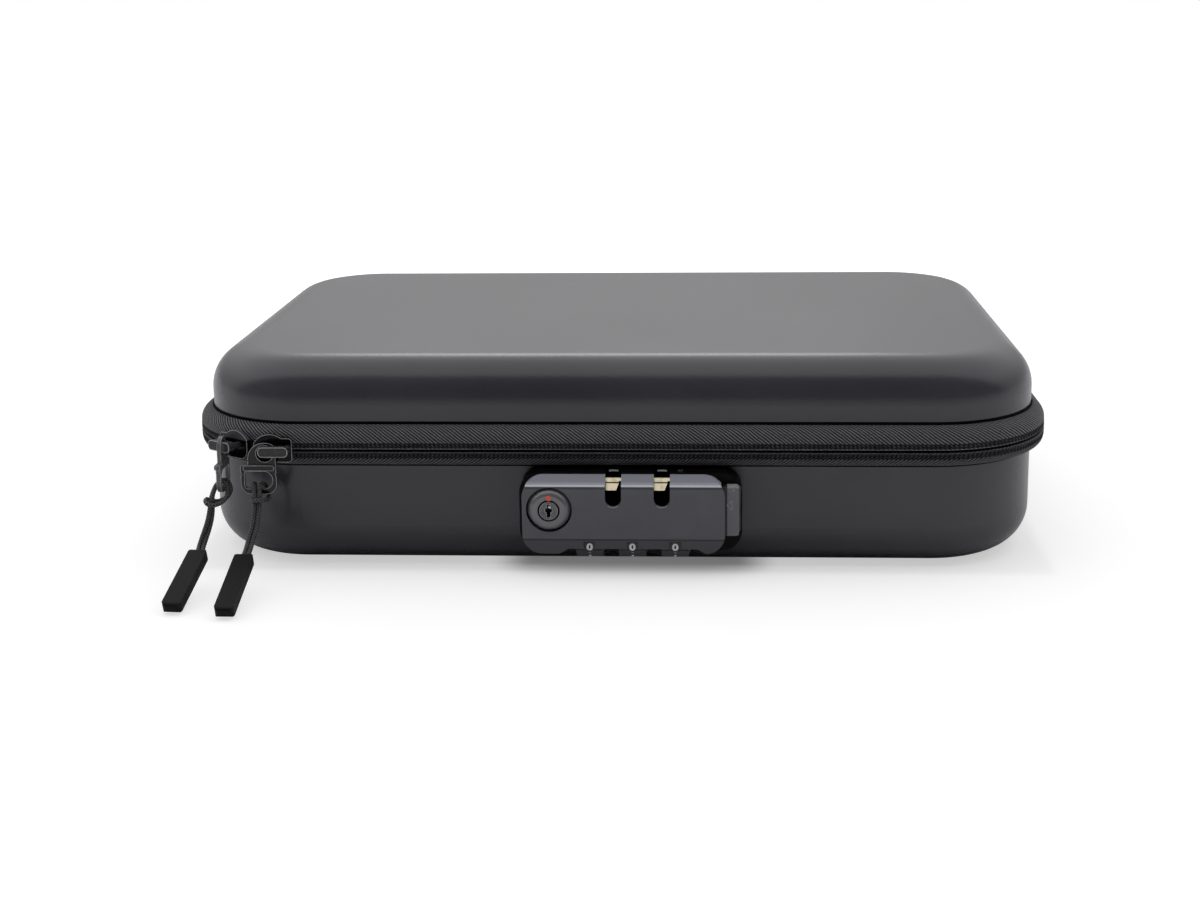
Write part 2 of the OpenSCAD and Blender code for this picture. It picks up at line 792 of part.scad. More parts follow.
// Clutch sleeve inside a dial, with a flange at its right end
module dial_sleeve(i) {
    color([0.75, 0.75, 0.72]) difference() {
        union() {
            rod_x(dial_x(i) - dial_w / 2, dial_x(i) + dial_w / 2, dial_out, dial_z, sleeve_r);
            rod_x(dial_x(i) + dial_w / 2 + 0.02, dial_x(i) + dial_w / 2 + 0.4, dial_out, dial_z,
                  sleeve_r + 0.9);
            rod_x(dial_x(i) + dial_w / 2 - 0.5, dial_x(i) + dial_w / 2 + 0.2, dial_out, dial_z,
                  sleeve_r);
        }
        rod_x(dial_x(i) - dial_w, dial_x(i) + dial_w, dial_out, dial_z, spindle_r + run_gap);
    }
}

module dial_sleeve_1() { dial_sleeve(0); }
module dial_sleeve_2() { dial_sleeve(1); }
module dial_sleeve_3() { dial_sleeve(2); }

module dial_spindle() {
    color([0.7, 0.7, 0.72])
        rod_x(dial_x(0) - pocket_w / 2 - 1.8, dial_x(2) + pocket_w / 2 + 1.8, dial_out, dial_z,
              spindle_r);
}

// Leaf spring over the dials, with a nose over each
module detent_spring() {
    color([0.7, 0.7, 0.72]) {
        on_front() translate([dial_x(0) - pocket_w / 2 - 0.8, leaf_low + 0.05, leaf_in + 0.1])
            cube([2 * dial_pitch + pocket_w + 1.6, leaf_t, body_t - leaf_in - 0.2]);
        for (i = [0 : 2])
            rod_x(dial_x(i) - dial_w / 2 + 1, dial_x(i) + dial_w / 2 - 1, dial_out,
                  leaf_low - detent_r + 0.25, detent_r);
    }
}

// Raised ring that holds the key plug: its face slopes up from the cover's to the plug
module key_bezel() {
    foot = body_t + seat_gap;
    crown = lock_out + ring_rise;
    color([0.15, 0.15, 0.16]) on_front() translate([key_x, key_z, 0]) rotate_extrude()
        polygon([
            [plug_r + run_gap, foot], [ring_outer_r, foot], [ring_outer_r, lock_out - ring_edge],
            [ring_outer_r - ring_edge, lock_out], [plug_r + ring_flat, crown],
            [plug_r + run_gap, crown]
        ]);
}

module key_plug() {
    face = lock_out + ring_rise - 0.1;
    color([0.2, 0.2, 0.21]) on_front() translate([key_x, key_z, 0]) difference() {
        union() {
            translate([0, 0, plug_low]) cylinder(h = face - plug_low, r = plug_r);
            translate([0, 0, face - 0.5]) cylinder(h = 0.5 + plug_dome, r = plug_r - plug_dome_in);
        }
        translate([-keyway_w / 2, -keyway_l / 2, face - keyway_deep])
            cube([keyway_w, keyway_l, keyway_deep + 1]);
        translate([-keyway_w, -keyway_w / 3, face - keyway_deep])
            cube([2 * keyway_w, keyway_w, keyway_deep + 1]);
    }
}

// Cam on the plug's tail
module key_cam() {
    color([0.7, 0.65, 0.5]) on_front() translate([key_x, key_z, cam_low]) linear_extrude(cam_t)
        intersection() {
            circle(plug_r + cam_reach);
            translate([-cam_w / 2, -plug_r - 1]) square([cam_w, plug_r + cam_w]);
        }
}

// Brass latch strip in the body's groove, with a hook at each slot and a leg down to the button.
// The leg ends in a block that the button and the spring press on.
module latch_bar() {
    leg_right = lock_right - button_in;
    leg_left = leg_right - latch_leg_w;
    bar_left = slot_x(0) - latch_past;
    block_low = spring_z - block_h / 2;
    color([0.8, 0.68, 0.42]) on_front() {
        translate([0, 0, latch_out]) linear_extrude(latch_t) {
            translate([bar_left, bar_low]) square([leg_right - bar_left, bar_top - bar_low]);
            for (i = [0, 1]) polygon([
                [slot_x(i) - hook_left, hook_low], [slot_x(i) + hook_right, hook_low],
                [slot_x(i) + hook_foot, bar_low - 0.6], [slot_x(i) + hook_foot, bar_low + 0.5],
                [slot_x(i) - hook_left, bar_low + 0.5]
            ]);
            translate([leg_left, block_low]) square([latch_leg_w, bar_top - block_low]);
        }
        translate([leg_left, block_low, latch_out])
            cube([latch_leg_w, block_h, block_out - latch_out]);
    }
}

module release_button() {
    left = lock_right - button_in + seat_gap;
    head = lock_right - button_step;
    color([0.17, 0.17, 0.18]) difference() {
        on_front() translate([0, 0, body_t + 0.2]) union() {
            linear_extrude(button_out - body_t - 0.2) difference() {
                rounded_rect(left - 3, button_low, button_end, button_high, button_r);
                translate([left - 4, 0]) square([head - left + 4, 2 * case_h]);
            }
            translate([left, button_low, 0])
                cube([head - left + 1, button_high - button_low - tail_in, tail_out - body_t - 0.2]);
        }
        on_front() translate([button_end, 0, button_out]) rotate([0, 45, 0])
            translate([-0.4, button_low - 1, -2]) cube([2, button_high - button_low + 2, 4]);
    }
}

// Points of a wound wire along X
function coil_route(x0, x1, r, turns, steps) =
    [for (k = [0 : turns * steps])
        [x0 + (x1 - x0) * k / (turns * steps), r * cos(360 * k / steps), r * sin(360 * k / steps)]];

module return_spring() {
    right = lock_right - button_in - latch_leg_w - wire_r - 0.1;
    color([0.7, 0.7, 0.72]) translate([0, -case_w / 2 - spring_out, spring_z])
        swept_tube(coil_route(spring_left + wire_r + 0.1, right, spring_r, spring_turns, 10),
                   wire_r, 6, [0, 1, 0]);
}

module reset_pin() {
    color([0.7, 0.7, 0.72])
        translate([reset_x, -case_w / 2 - reset_out, body_top + reset_rise - reset_l])
            cylinder(h = reset_l, r = reset_r);
}

module lock_backplate() {
    color([0.6, 0.6, 0.62]) on_front() translate([0, 0, -wall_in - backplate_t])
        linear_extrude(backplate_t) difference() {
            rounded_rect(body_left, backplate_low, body_right, backplate_high, backplate_r);
            for (x = [screw_left, screw_right], z = [screw_low, screw_high])
                translate([x, z]) circle(screw_r + seat_gap);
        }
}

module lock_screws() {
    seat = -wall_in - backplate_t;
    color([0.7, 0.7, 0.72]) screw_places() difference() {
        union() {
            translate([0, 0, seat]) cylinder(h = screw_reach - seat, r = screw_r);
            translate([0, 0, seat - screw_head_t]) cylinder(h = screw_head_t, r = screw_head_r);
        }
        for (a = [0, 90]) rotate([0, 0, a])
            translate([-screw_slot_l / 2, -screw_slot_w / 2, seat - screw_head_t - 1])
                cube([screw_slot_l, screw_slot_w, screw_head_t / 2 + 1]);
    }
}

lid_shell();
lid_lining();
lid_binding();
zip_tape_upper();
zip_coil_upper();
base_shell();
base_lining();
base_binding();
zip_tape_lower();
zip_coil_lower();
hinge_strip();
lock_body();
lock_cover();
lock_backplate();
lock_screws();
dial_spindle();
dial_1();
dial_2();
dial_3();
dial_sleeve_1();
dial_sleeve_2();
dial_sleeve_3();
detent_spring();
key_bezel();
key_plug();
key_cam();
latch_bar();
release_button();
return_spring();
reset_pin();
slider_front();
crown_front();
puller_front();
pull_cord_front();
pull_tag_front();
slider_corner();
crown_corner();
puller_corner();
pull_cord_corner();
pull_tag_corner();
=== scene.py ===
"""The looks of a zipped hard-shell case with a combination lock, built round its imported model.

Everything is in metres in the model's own frame: +X to the right, +Y to the hinge and +Z up,
with the origin at the centre of the base's underside.
"""
import logging
import math
from dataclasses import dataclass
from enum import Enum
from typing import Sequence

import bmesh
import bpy
import numpy as np
from mathutils import Matrix, Vector


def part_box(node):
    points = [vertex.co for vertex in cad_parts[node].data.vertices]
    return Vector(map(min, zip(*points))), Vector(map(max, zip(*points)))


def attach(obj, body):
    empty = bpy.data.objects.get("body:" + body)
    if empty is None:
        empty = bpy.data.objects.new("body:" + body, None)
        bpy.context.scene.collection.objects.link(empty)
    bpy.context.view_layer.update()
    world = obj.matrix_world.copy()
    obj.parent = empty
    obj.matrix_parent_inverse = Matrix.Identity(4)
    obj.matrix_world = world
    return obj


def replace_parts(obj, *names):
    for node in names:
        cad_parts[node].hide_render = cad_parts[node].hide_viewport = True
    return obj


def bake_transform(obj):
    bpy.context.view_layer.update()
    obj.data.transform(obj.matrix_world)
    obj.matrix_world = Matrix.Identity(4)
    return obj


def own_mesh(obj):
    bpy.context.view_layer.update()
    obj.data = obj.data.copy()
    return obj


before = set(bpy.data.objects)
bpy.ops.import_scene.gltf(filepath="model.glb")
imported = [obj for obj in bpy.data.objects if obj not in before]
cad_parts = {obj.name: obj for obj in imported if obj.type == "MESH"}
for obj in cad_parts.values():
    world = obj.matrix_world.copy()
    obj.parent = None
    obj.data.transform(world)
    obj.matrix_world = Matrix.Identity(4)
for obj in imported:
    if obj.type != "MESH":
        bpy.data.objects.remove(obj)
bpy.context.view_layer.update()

MM = 0.001
CORNER_RADIUS = 0.033
TAU = 2 * math.pi
# Reading a imported node: points this near are one, faces this level are one face, and an edge
# gets a bead of painted highlight where it turns this sharply, faces the front this squarely and
# is this long.
WELD = 2e-6
FLAT = math.radians(0.8)
SHARP = math.radians(40)
FRONTAL = 0.6
SPECK = 0.00003
# A figure's height over the size of its font.
FIGURE_SHARE = 0.7
Colour = tuple[float, float, float]
log = logging.getLogger("case")


class Value:
    """A shader socket that takes part in plain Python arithmetic."""

    def __init__(self, shade: "Shade", socket: bpy.types.NodeSocket) -> None:
        """Wraps one output socket.

        Args:
            shade: the material that the socket belongs to.
            socket: the output socket.
        """
        self.shade = shade
        self.socket = socket

    def maths(self, operation: str, *others: "Value | float") -> "Value":
        """Adds a Math node.

        Args:
            operation: the Math node's operation.
            others: its further operands, after this value.

        Returns:
            The node's result.
        """
        inputs = dict(enumerate((self, *others)))
        return self.shade.node("ShaderNodeMath", {"operation": operation}, inputs)["Value"]

    def __add__(self, other: "Value | float") -> "Value":
        """Sum."""
        return self.maths("ADD", other)

    def __sub__(self, other: "Value | float") -> "Value":
        """Difference."""
        return self.maths("SUBTRACT", other)

    def __rsub__(self, other: float) -> "Value":
        """Difference with the number first."""
        return (self * -1.0) + other

    def __mul__(self, other: "Value | float") -> "Value":
        """Product."""
        return self.maths("MULTIPLY", other)

    def __truediv__(self, other: "Value | float") -> "Value":
        """Quotient."""
        return self.maths("DIVIDE", other)

    def wave(self) -> "Value":
        """A sine of the value in turns, from 0 to 1."""
        return (self * TAU).maths("SINE") * 0.5 + 0.5

    def step(self, low: float, high: float) -> "Value":
        """A smooth rise from 0 at low to 1 at high."""
        return self.shade.node(
            "ShaderNodeMapRange", {"interpolation_type": "SMOOTHSTEP"},
            {"Value": self, "From Min": low, "From Max": high})["Result"]


class Nodes:
    """The outputs of one shader node, by name."""

    def __init__(self, shade: "Shade", node: bpy.types.Node) -> None:
        """Keeps the node and the material it stands in."""
        self.shade = shade
        self.node = node

    def __getitem__(self, name: str) -> Value:
        """The output of that name that is in use."""
        found = [s for s in self.node.outputs if s.name == name and s.enabled]
        return Value(self.shade, found[0])


class Shade:
    """The node tree of one material, or of the world."""

    def __init__(self, tree: bpy.types.NodeTree) -> None:
        """Empties the tree.

        Args:
            tree: the node tree to build in.
        """
        self.tree = tree
        tree.nodes.clear()

    def node(self, kind: str, settings: dict | None = None, inputs: dict | None = None) -> Nodes:
        """Adds a node.

        Args:
            kind: the node's type.
            settings: its own settings, set first.
            inputs: values or links for its sockets, by name or number.

        Returns:
            The node's outputs.
        """
        node = self.tree.nodes.new(kind)
        for key, value in (settings or {}).items():
            setattr(node, key, value)
        for key, value in (inputs or {}).items():
            sockets = [s for s in node.inputs if s.enabled]
            socket = sockets[key] if isinstance(key, int) else next(
                s for s in sockets if s.name == key)
            if isinstance(value, Value):
                self.tree.links.new(value.socket, socket)
            elif isinstance(value, tuple) and len(value) == 3 and socket.type == "RGBA":
                socket.default_value = (*value, 1.0)
            else:
                socket.default_value = value
        return Nodes(self, node)

    def mix(self, factor: "Value | float", low: "Value | Colour", high: "Value | Colour") -> Value:
        """A colour between two colours."""
        return self.node("ShaderNodeMix", {"data_type": "RGBA"},
                         {"Factor": factor, "A": low, "B": high})["Result"]

    def place(self) -> Value:
        """The point of the surface in the model's frame."""
        return self.node("ShaderNodeTexCoord")["Object"]

    def cloth(self) -> tuple[Value, Value]:
        """The piece's own UV map: metres along it, and metres across it."""
        split = self.node("ShaderNodeSeparateXYZ", {},
                          {0: self.node("ShaderNodeTexCoord")["UV"]})
        return split["X"], split["Y"]

    def noise(self, where: Value, per_metre: float, detail: float = 2.0) -> Value:
        """Cloudy noise from 0 to 1, with that many lumps in a metre."""
        return self.node("ShaderNodeTexNoise", {},
                         {"Vector": where, "Scale": per_metre, "Detail": detail})["Fac"]

    def cells(self, where: Value, per_metre: float) -> Value:
        """Distance to the nearest cell's centre, for a pebbled grain."""
        return self.node("ShaderNodeTexVoronoi", {},
                         {"Vector": where, "Scale": per_metre})["Distance"]

    def bump(self, height: Value, depth: float, strength: float = 1.0) -> Value:
        """A normal that is raised by a height.

        Args:
            height: from 0, low, to 1, high.
            depth: the height's full size in metres.
            strength: how much of it shows.

        Returns:
            The normal.
        """
        return self.node("ShaderNodeBump", {},
                         {"Height": height, "Distance": depth, "Strength": strength})["Normal"]


@dataclass(frozen=True)
class Band:
    """A stretch along one axis in which a finish has another colour, used for painted light and
    shade.
    """

    low: float
    high: float
    colour: Colour
    blur: float = 0.0001
    axis: str = "Z"

    def over(self, shade: Shade, base: Value) -> Value:
        """The base colour with the band laid over it.

        Args:
            shade: the finish's node tree.
            base: the colour under the band.

        Returns:
            The colour with the band.
        """
        spot = shade.node("ShaderNodeSeparateXYZ", {}, {0: shade.place()})[self.axis]
        inside = spot.step(self.low - self.blur, self.low + self.blur) * (
            1.0 - spot.step(self.high - self.blur, self.high + self.blur))
        return shade.mix(inside, base, self.colour)


def lay(shade: Shade, tint: Value, bands: Sequence[Band]) -> Value:
    """A colour with bands laid over it, the last one uppermost.

    Args:
        shade: the finish's node tree.
        tint: the colour under the bands.
        bands: the bands.

    Returns:
        The colour with all its bands.
    """
    for band in bands:
        tint = band.over(shade, tint)
    return tint


@dataclass(frozen=True)
class Finish:
    """A finish with one material, made once."""

    name: str
    slot: str

    def material(self) -> bpy.types.Material:
        """Makes the finish's material, or finds it.

        Returns:
            The material.
        """
        made = bpy.data.materials.get(self.name)
        if made is None:
            made = bpy.data.materials.new(self.name)
            made.use_nodes = True
            shade = Shade(made.node_tree)
            surface = shade.node("ShaderNodeBsdfPrincipled", {}, self.sockets(shade))["BSDF"]
            shade.node("ShaderNodeOutputMaterial", {}, {"Surface": surface})
        return made

    def sockets(self, shade: Shade) -> dict:
        """Values and links for the surface shader's sockets.

        Args:
            shade: the finish's own node tree.

        Returns:
            Values and links for the surface shader, by socket.
        """
        raise NotImplementedError


@dataclass(frozen=True)
class SkinFinish(Finish):
    """Smooth soft-touch skin with a very fine grain and faint clouding."""

    colour: Colour = (0.041, 0.041, 0.05)
    rub: Colour = (0.053, 0.053, 0.063)
    grain_per_metre: float = 2600.0
    grain_depth: float = 0.00006

    def sockets(self, shade: Shade) -> dict:
        """Fine grain in the normal, clouding in the colour and the roughness.

        Args:
            shade: the finish's own node tree.

        Returns:
            Values and links for the surface shader, by socket.
        """
        place = shade.place()
        cloud = shade.noise(place, 14.0, 4.0)
        fine = shade.noise(place, self.grain_per_metre, 3.0)
        pebble = shade.cells(place, self.grain_per_metre * 0.55)
        grain = fine * 0.6 + pebble * 0.5
        return {
            "Base Color": shade.mix(cloud.step(0.35, 0.75), self.colour, self.rub),
            "Roughness": cloud * 0.06 + 0.22,
            "Specular IOR Level": 0.5,
            "Normal": shade.bump(grain, self.grain_depth, 0.55),
        }


class Lean(Enum):
    """Which way the twill's ribs climb along a tape."""

    LEFT = -1.0
    RIGHT = 1.0


@dataclass(frozen=True)
class TwillFinish(Finish):
    """Woven twill tape: diagonal ribs of short yarns, and a row of needle holes near its edge."""

    lean: Lean = Lean.RIGHT
    rib: float = 0.00125
    slant: float = 1.3
    yarn: float = 0.00035
    dark: Colour = (0.001, 0.001, 0.0012)
    light: Colour = (0.34, 0.34, 0.37)
    bead: float = 0.00045
    stitch_pitch: float = 0.00125
    stitch_low: float = 0.0007
    stitch_high: float = 0.0024
    stitched: bool = True

    def sockets(self, shade: Shade) -> dict:
        """Ribs and yarns in the colour and the normal, darker where the stitches pull in.

        Args:
            shade: the finish's own node tree.

        Returns:
            Values and links for the surface shader, by socket.
        """
        along, across = shade.cloth()
        wobble = shade.noise(shade.place(), 260.0, 2.0) - 0.5
        ribs = ((along + across * (self.lean.value * self.slant)) / self.rib + wobble * 0.7).wave()
        yarns = ((along - across * (self.lean.value * 0.4)) / self.yarn).wave()
        fuzz = shade.noise(shade.place(), 3800.0, 2.0)
        weave = ribs.step(0.3, 0.95) * (yarns * 0.4 + 0.6)
        lit = weave * (fuzz.step(0.3, 0.7) * 0.5 + 0.5) * 0.85 + 0.06
        height = weave
        if self.stitched:
            row = across.step(self.stitch_low - 0.0001, self.stitch_low + 0.0001) * (
                1.0 - across.step(self.stitch_high - 0.0002, self.stitch_high + 0.0001))
            holes = ((along + across * 0.15) / self.stitch_pitch).wave().step(0.25, 0.7)
            pulled = row * (holes * 0.95 + 0.05)
            lit = lit * (1.0 - row * 0.35) * (1.0 - pulled * 0.92)
            lit = lit + (1.0 - across.step(self.bead * 0.6, self.bead * 1.4)) * 0.35
            height = weave * (1.0 - row * 0.7) - pulled * 1.6
        return {
            "Base Color": shade.mix(lit, self.dark, self.light),
            "Roughness": 0.82,
            "Specular IOR Level": 0.25,
            "Sheen Weight": 0.08,
            "Sheen Roughness": 0.4,
            "Normal": shade.bump(height, 0.00016, 0.8),
        }


@dataclass(frozen=True)
class KnitFinish(Finish):
    """Close knitted cloth, for the lining and the bindings."""

    colour: Colour
    loop: float = 0.0009

    def sockets(self, shade: Shade) -> dict:
        """Small loops in rows, on the model's own coordinates.

        Args:
            shade: the finish's own node tree.

        Returns:
            Values and links for the surface shader, by socket.
        """
        place = shade.place()
        split = shade.node("ShaderNodeSeparateXYZ", {}, {0: place})
        rows = ((split["Z"] + split["Y"]) / self.loop).wave()
        loops = ((split["X"] + split["Y"] * 0.5) / (self.loop * 0.8)).wave()
        fuzz = shade.noise(place, 900.0, 3.0)
        height = rows * loops
        pale = tuple(c * 1.9 for c in self.colour)
        return {
            "Base Color": shade.mix(height * 0.6 + fuzz * 0.3, self.colour, pale),
            "Roughness": 0.9,
            "Sheen Weight": 0.2,
            "Normal": shade.bump(height + fuzz * 0.4, 0.00012, 0.7),
        }


@dataclass(frozen=True)
class EnamelFinish(Finish):
    """Gloss black paint on cast metal, a little uneven. Its copies paint highlights and shade."""

    colour: Colour = (0.004, 0.004, 0.0045)
    worn: Colour = (0.02, 0.02, 0.021)
    gloss: float = 0.16
    level: float = 0.3
    bands: tuple[Band, ...] = ()

    def sockets(self, shade: Shade) -> dict:
        """Slow ripples in the normal, and rubbed patches.

        Args:
            shade: the finish's own node tree.

        Returns:
            Values and links for the surface shader, by socket.
        """
        place = shade.place()
        ripple = shade.noise(place, 420.0, 2.0)
        rub = shade.noise(place, 1500.0, 4.0).step(0.56, 0.72)
        return {
            "Base Color": lay(shade, shade.mix(rub * 0.45, self.colour, self.worn), self.bands),
            "Roughness": rub * 0.2 + self.gloss,
            "Specular IOR Level": self.level,
            "Coat Weight": 0.1,
            "Coat Roughness": 0.08,
            "Normal": shade.bump(ripple, 0.00012, 0.5),
        }


@dataclass(frozen=True)
class BraidFinish(Finish):
    """Braided cord: two sets of strands that cross round it."""

    colour: Colour = (0.006, 0.006, 0.0065)
    light: Colour = (0.2, 0.2, 0.205)
    strand: float = 0.00085
    round_turns: float = 3.0

    def sockets(self, shade: Shade) -> dict:
        """Crossing strands from the cord's own UV map: metres along it, and turns round it.

        Args:
            shade: the finish's own node tree.

        Returns:
            Values and links for the surface shader, by socket.
        """
        along, turns = shade.cloth()
        left = (along / self.strand + turns * self.round_turns).wave()
        right = (along / self.strand - turns * self.round_turns).wave()
        weave = left.maths("MAXIMUM", right)
        fuzz = shade.noise(shade.place(), 6000.0, 2.0)
        return {
            "Base Color": shade.mix(weave.step(0.8, 1.0) * 0.7 + fuzz * 0.08,
                                    self.colour, self.light),
            "Roughness": 0.5,
            "Specular IOR Level": 0.4,
            "Normal": shade.bump(weave, 0.0001, 0.8),
        }


@dataclass(frozen=True)
class MouldFinish(Finish):
    """Moulded plastic or rubber with a spark-eroded texture and fine scuffs."""

    colour: Colour
    pale: Colour
    rough: float
    grain_per_metre: float = 3800.0
    grain_depth: float = 0.00003
    level: float = 0.5
    bands: tuple[Band, ...] = ()

    def sockets(self, shade: Shade) -> dict:
        """A sandy grain, and clouding in the colour and the roughness.

        Args:
            shade: the finish's own node tree.

        Returns:
            Values and links for the surface shader, by socket.
        """
        place = shade.place()
        sand = shade.noise(place, self.grain_per_metre, 3.0)
        cloud = shade.noise(place, 110.0, 4.0)
        scuff = shade.noise(place, 1300.0, 5.0).step(0.62, 0.75)
        tint = shade.mix(cloud.step(0.3, 0.75) * 0.6 + scuff * 0.3, self.colour, self.pale)
        return {
            "Base Color": lay(shade, tint, self.bands),
            "Roughness": cloud * 0.12 + scuff * 0.1 + (self.rough - 0.06),
            "Specular IOR Level": self.level,
            "Normal": shade.bump(sand, self.grain_depth, 0.6),
        }


@dataclass(frozen=True)
class MetalFinish(Finish):
    """Bare metal with fine drawn lines and dull patches."""

    colour: Colour = (0.62, 0.62, 0.64)
    rough: float = 0.26
    dull: Colour = (0.35, 0.34, 0.33)
    bands: tuple[Band, ...] = ()

    def sockets(self, shade: Shade) -> dict:
        """Lines across Z from stretched noise, dulled here and there.

        Args:
            shade: the finish's own node tree.

        Returns:
            Values and links for the surface shader, by socket.
        """
        place = shade.place()
        drawn = shade.node("ShaderNodeMapping", {}, {"Vector": place, "Scale": (60, 60, 4200)})
        lines = shade.noise(drawn["Vector"], 1.0, 2.0)
        tarnish = shade.noise(place, 500.0, 4.0).step(0.5, 0.75)
        return {
            "Base Color": lay(shade, shade.mix(tarnish * 0.5, self.colour, self.dull),
                              self.bands),
            "Metallic": 1.0,
            "Roughness": lines * 0.12 + tarnish * 0.1 + (self.rough - 0.06),
            "Normal": shade.bump(lines, 0.00001, 0.5),
        }


@dataclass(frozen=True)
class InkFinish(Finish):
    """Printed or painted marks, a little uneven."""

    colour: Colour = (0.95, 0.95, 0.94)

    def sockets(self, shade: Shade) -> dict:
        """Thin and thick patches of ink.

        Args:
            shade: the finish's own node tree.

        Returns:
            Values and links for the surface shader, by socket.
        """
        patch = shade.noise(shade.place(), 2500.0, 3.0)
        thin = tuple(c * 0.8 for c in self.colour)
        return {
            "Base Color": shade.mix(patch.step(0.35, 0.65), thin, self.colour),
            "Roughness": 0.5,
        }


SKIN = SkinFinish("shell skin", "shell_skin")
TWILL_UPPER = TwillFinish("upper tape twill", "zip_tape")
# The lower tape's twill has darker light yarns than the upper's: painted shade.
TWILL_SHADED_LOWER = TwillFinish("shaded lower tape twill", "zip_tape", light=(0.22, 0.22, 0.24))
TWILL_HINGE = TwillFinish("hinge twill", "zip_tape", Lean.LEFT, stitched=False)
THREAD = BraidFinish("stitching thread", "zip_tape", colour=(0.004, 0.004, 0.0045),
                     light=(0.03, 0.03, 0.033), strand=0.0004)
COIL = MouldFinish("coil nylon", "zip_coil", (0.004, 0.004, 0.004), (0.01, 0.01, 0.01), 0.5)
LINING = KnitFinish("lining knit", "lining_cloth", (0.018, 0.018, 0.02))
BINDING = KnitFinish("binding cloth", "binding_cloth", (0.01, 0.01, 0.011), 0.0007)
ENAMEL = EnamelFinish("slider enamel", "slider_metal")
# A darker, duller copy of the slider enamel for the front slider's plates: painted shade.
ENAMEL_SHADED = EnamelFinish("shaded slider enamel", "slider_metal", (0.002, 0.002, 0.0022),
                           (0.006, 0.006, 0.0063), 0.2, 0.08)
# The darker copy again for the corner slider's plates, lighter above 40.2 mm: painted highlight on
# its top.
ENAMEL_LIT_TOP = EnamelFinish("slider top with painted highlight", "slider_metal", (0.002, 0.002, 0.0022),
                          (0.006, 0.006, 0.0063), 0.2, 0.08,
                          (Band(0.0402, 0.06, (0.08, 0.08, 0.086), 0.0002),))
# A grey copy of the black enamel for the crowns: painted highlight on their bars.
ENAMEL_LIT_BRIDGE = EnamelFinish("lit bridge enamel", "slider_metal", (0.038, 0.038, 0.041),
                             (0.09, 0.09, 0.095), 0.2, 0.2)
# A much lighter copy of the black enamel for the corner puller: painted light.
ENAMEL_LIT_SIDE = EnamelFinish("lit puller enamel", "slider_metal", (0.13, 0.13, 0.137),
                           (0.3, 0.3, 0.31), 0.2, 0.3)
# A light copy for rounded edges and thin edge beads: painted highlights.
ENAMEL_GLINT = EnamelFinish("enamel edge glint", "slider_metal", (0.34, 0.34, 0.35),
                           (0.5, 0.5, 0.51), 0.26, 0.6)
# Near-black for the cords in the creases and the strips in the slit: painted shade.
JOINT_SHADE = MouldFinish("joint shade cord", "zip_tape", (0.0012, 0.0012, 0.0012),
                   (0.0025, 0.0025, 0.0025), 0.8, 2600.0, 0.00004, 0.05)
BRAID = BraidFinish("pull cord braid", "pull_cord")
RUBBER = MouldFinish("tag rubber", "tag_rubber", (0.004, 0.004, 0.0045), (0.009, 0.009, 0.0095),
                     0.55, 2600.0, 0.00004, 0.15)
# The cover's bands are painted light and shade, laid by height.
COVER = MouldFinish("lock cover plastic", "cover_plastic", (0.093, 0.093, 0.107),
                    (0.115, 0.115, 0.132), 0.42, bands=(
                        # Painted highlight: the top bevel, which faces up, lighter.
                        Band(0.029, 0.04, (0.22, 0.22, 0.273)),
                        # Painted highlight: a soft glow over the bevel's lower edge.
                        Band(0.0291, 0.0299, (0.34, 0.34, 0.4), 0.0003),
                        # Painted highlight: a bright glint line along the bevel's lower edge.
                        Band(0.02895, 0.0294, (0.62, 0.62, 0.7), 0.00012),
                        # Painted shade: a dark line under the glint.
                        Band(0.0282, 0.0289, (0.05, 0.05, 0.056), 0.0002),
                        # Painted shade: the lower strip, which faces down, darker.
                        Band(0.0, 0.0129, (0.059, 0.059, 0.068)),
                        # Painted shade: a dark line in the fold over the lower strip.
                        Band(0.0127, 0.0132, (0.012, 0.012, 0.013), 0.00015)))
# The button's bands are painted light and shade.
BUTTON = MouldFinish("button plastic", "cover_plastic", (0.142, 0.142, 0.158),
                     (0.178, 0.178, 0.198), 0.42, bands=(
                         # Painted highlight: the top chamfer lighter.
                         Band(0.0284, 0.04, (0.32, 0.32, 0.34)),
                         # Painted shade: the part towards the cover near black.
                         Band(0.0, 0.0334, (0.002, 0.002, 0.002), axis="X")))
# A light grey that paints highlights on the slot lips, the catches and the arrow; the button's dot
# is drawn in it too.
LIGHT_LINES = MouldFinish("painted highlight lines", "cover_plastic", (0.26, 0.26, 0.27), (0.34, 0.34, 0.35), 0.3)
BODY = MouldFinish("lock body plastic", "body_plastic", (0.002, 0.002, 0.0022),
                   (0.004, 0.004, 0.0042), 0.4, 900.0, 0.00001, 0.08)
DIAL = MouldFinish("dial plastic", "dial_plastic", (0.05, 0.05, 0.057),
                   (0.058, 0.058, 0.066), 0.4, level=0.35)
BEZEL = MouldFinish("key dish", "bezel_metal", (0.13, 0.13, 0.143),
                    (0.15, 0.15, 0.165), 0.2, 1800.0, 0.00001, 1.0)
SEAL = MouldFinish("key seal", "bezel_metal", (0.002, 0.002, 0.002),
                   (0.004, 0.004, 0.004), 0.6, 1800.0, 0.00001, 0.1)
PLUG = MetalFinish("key plug metal", "bezel_metal", (0.12, 0.12, 0.125), 0.3,
                   (0.06, 0.06, 0.06))
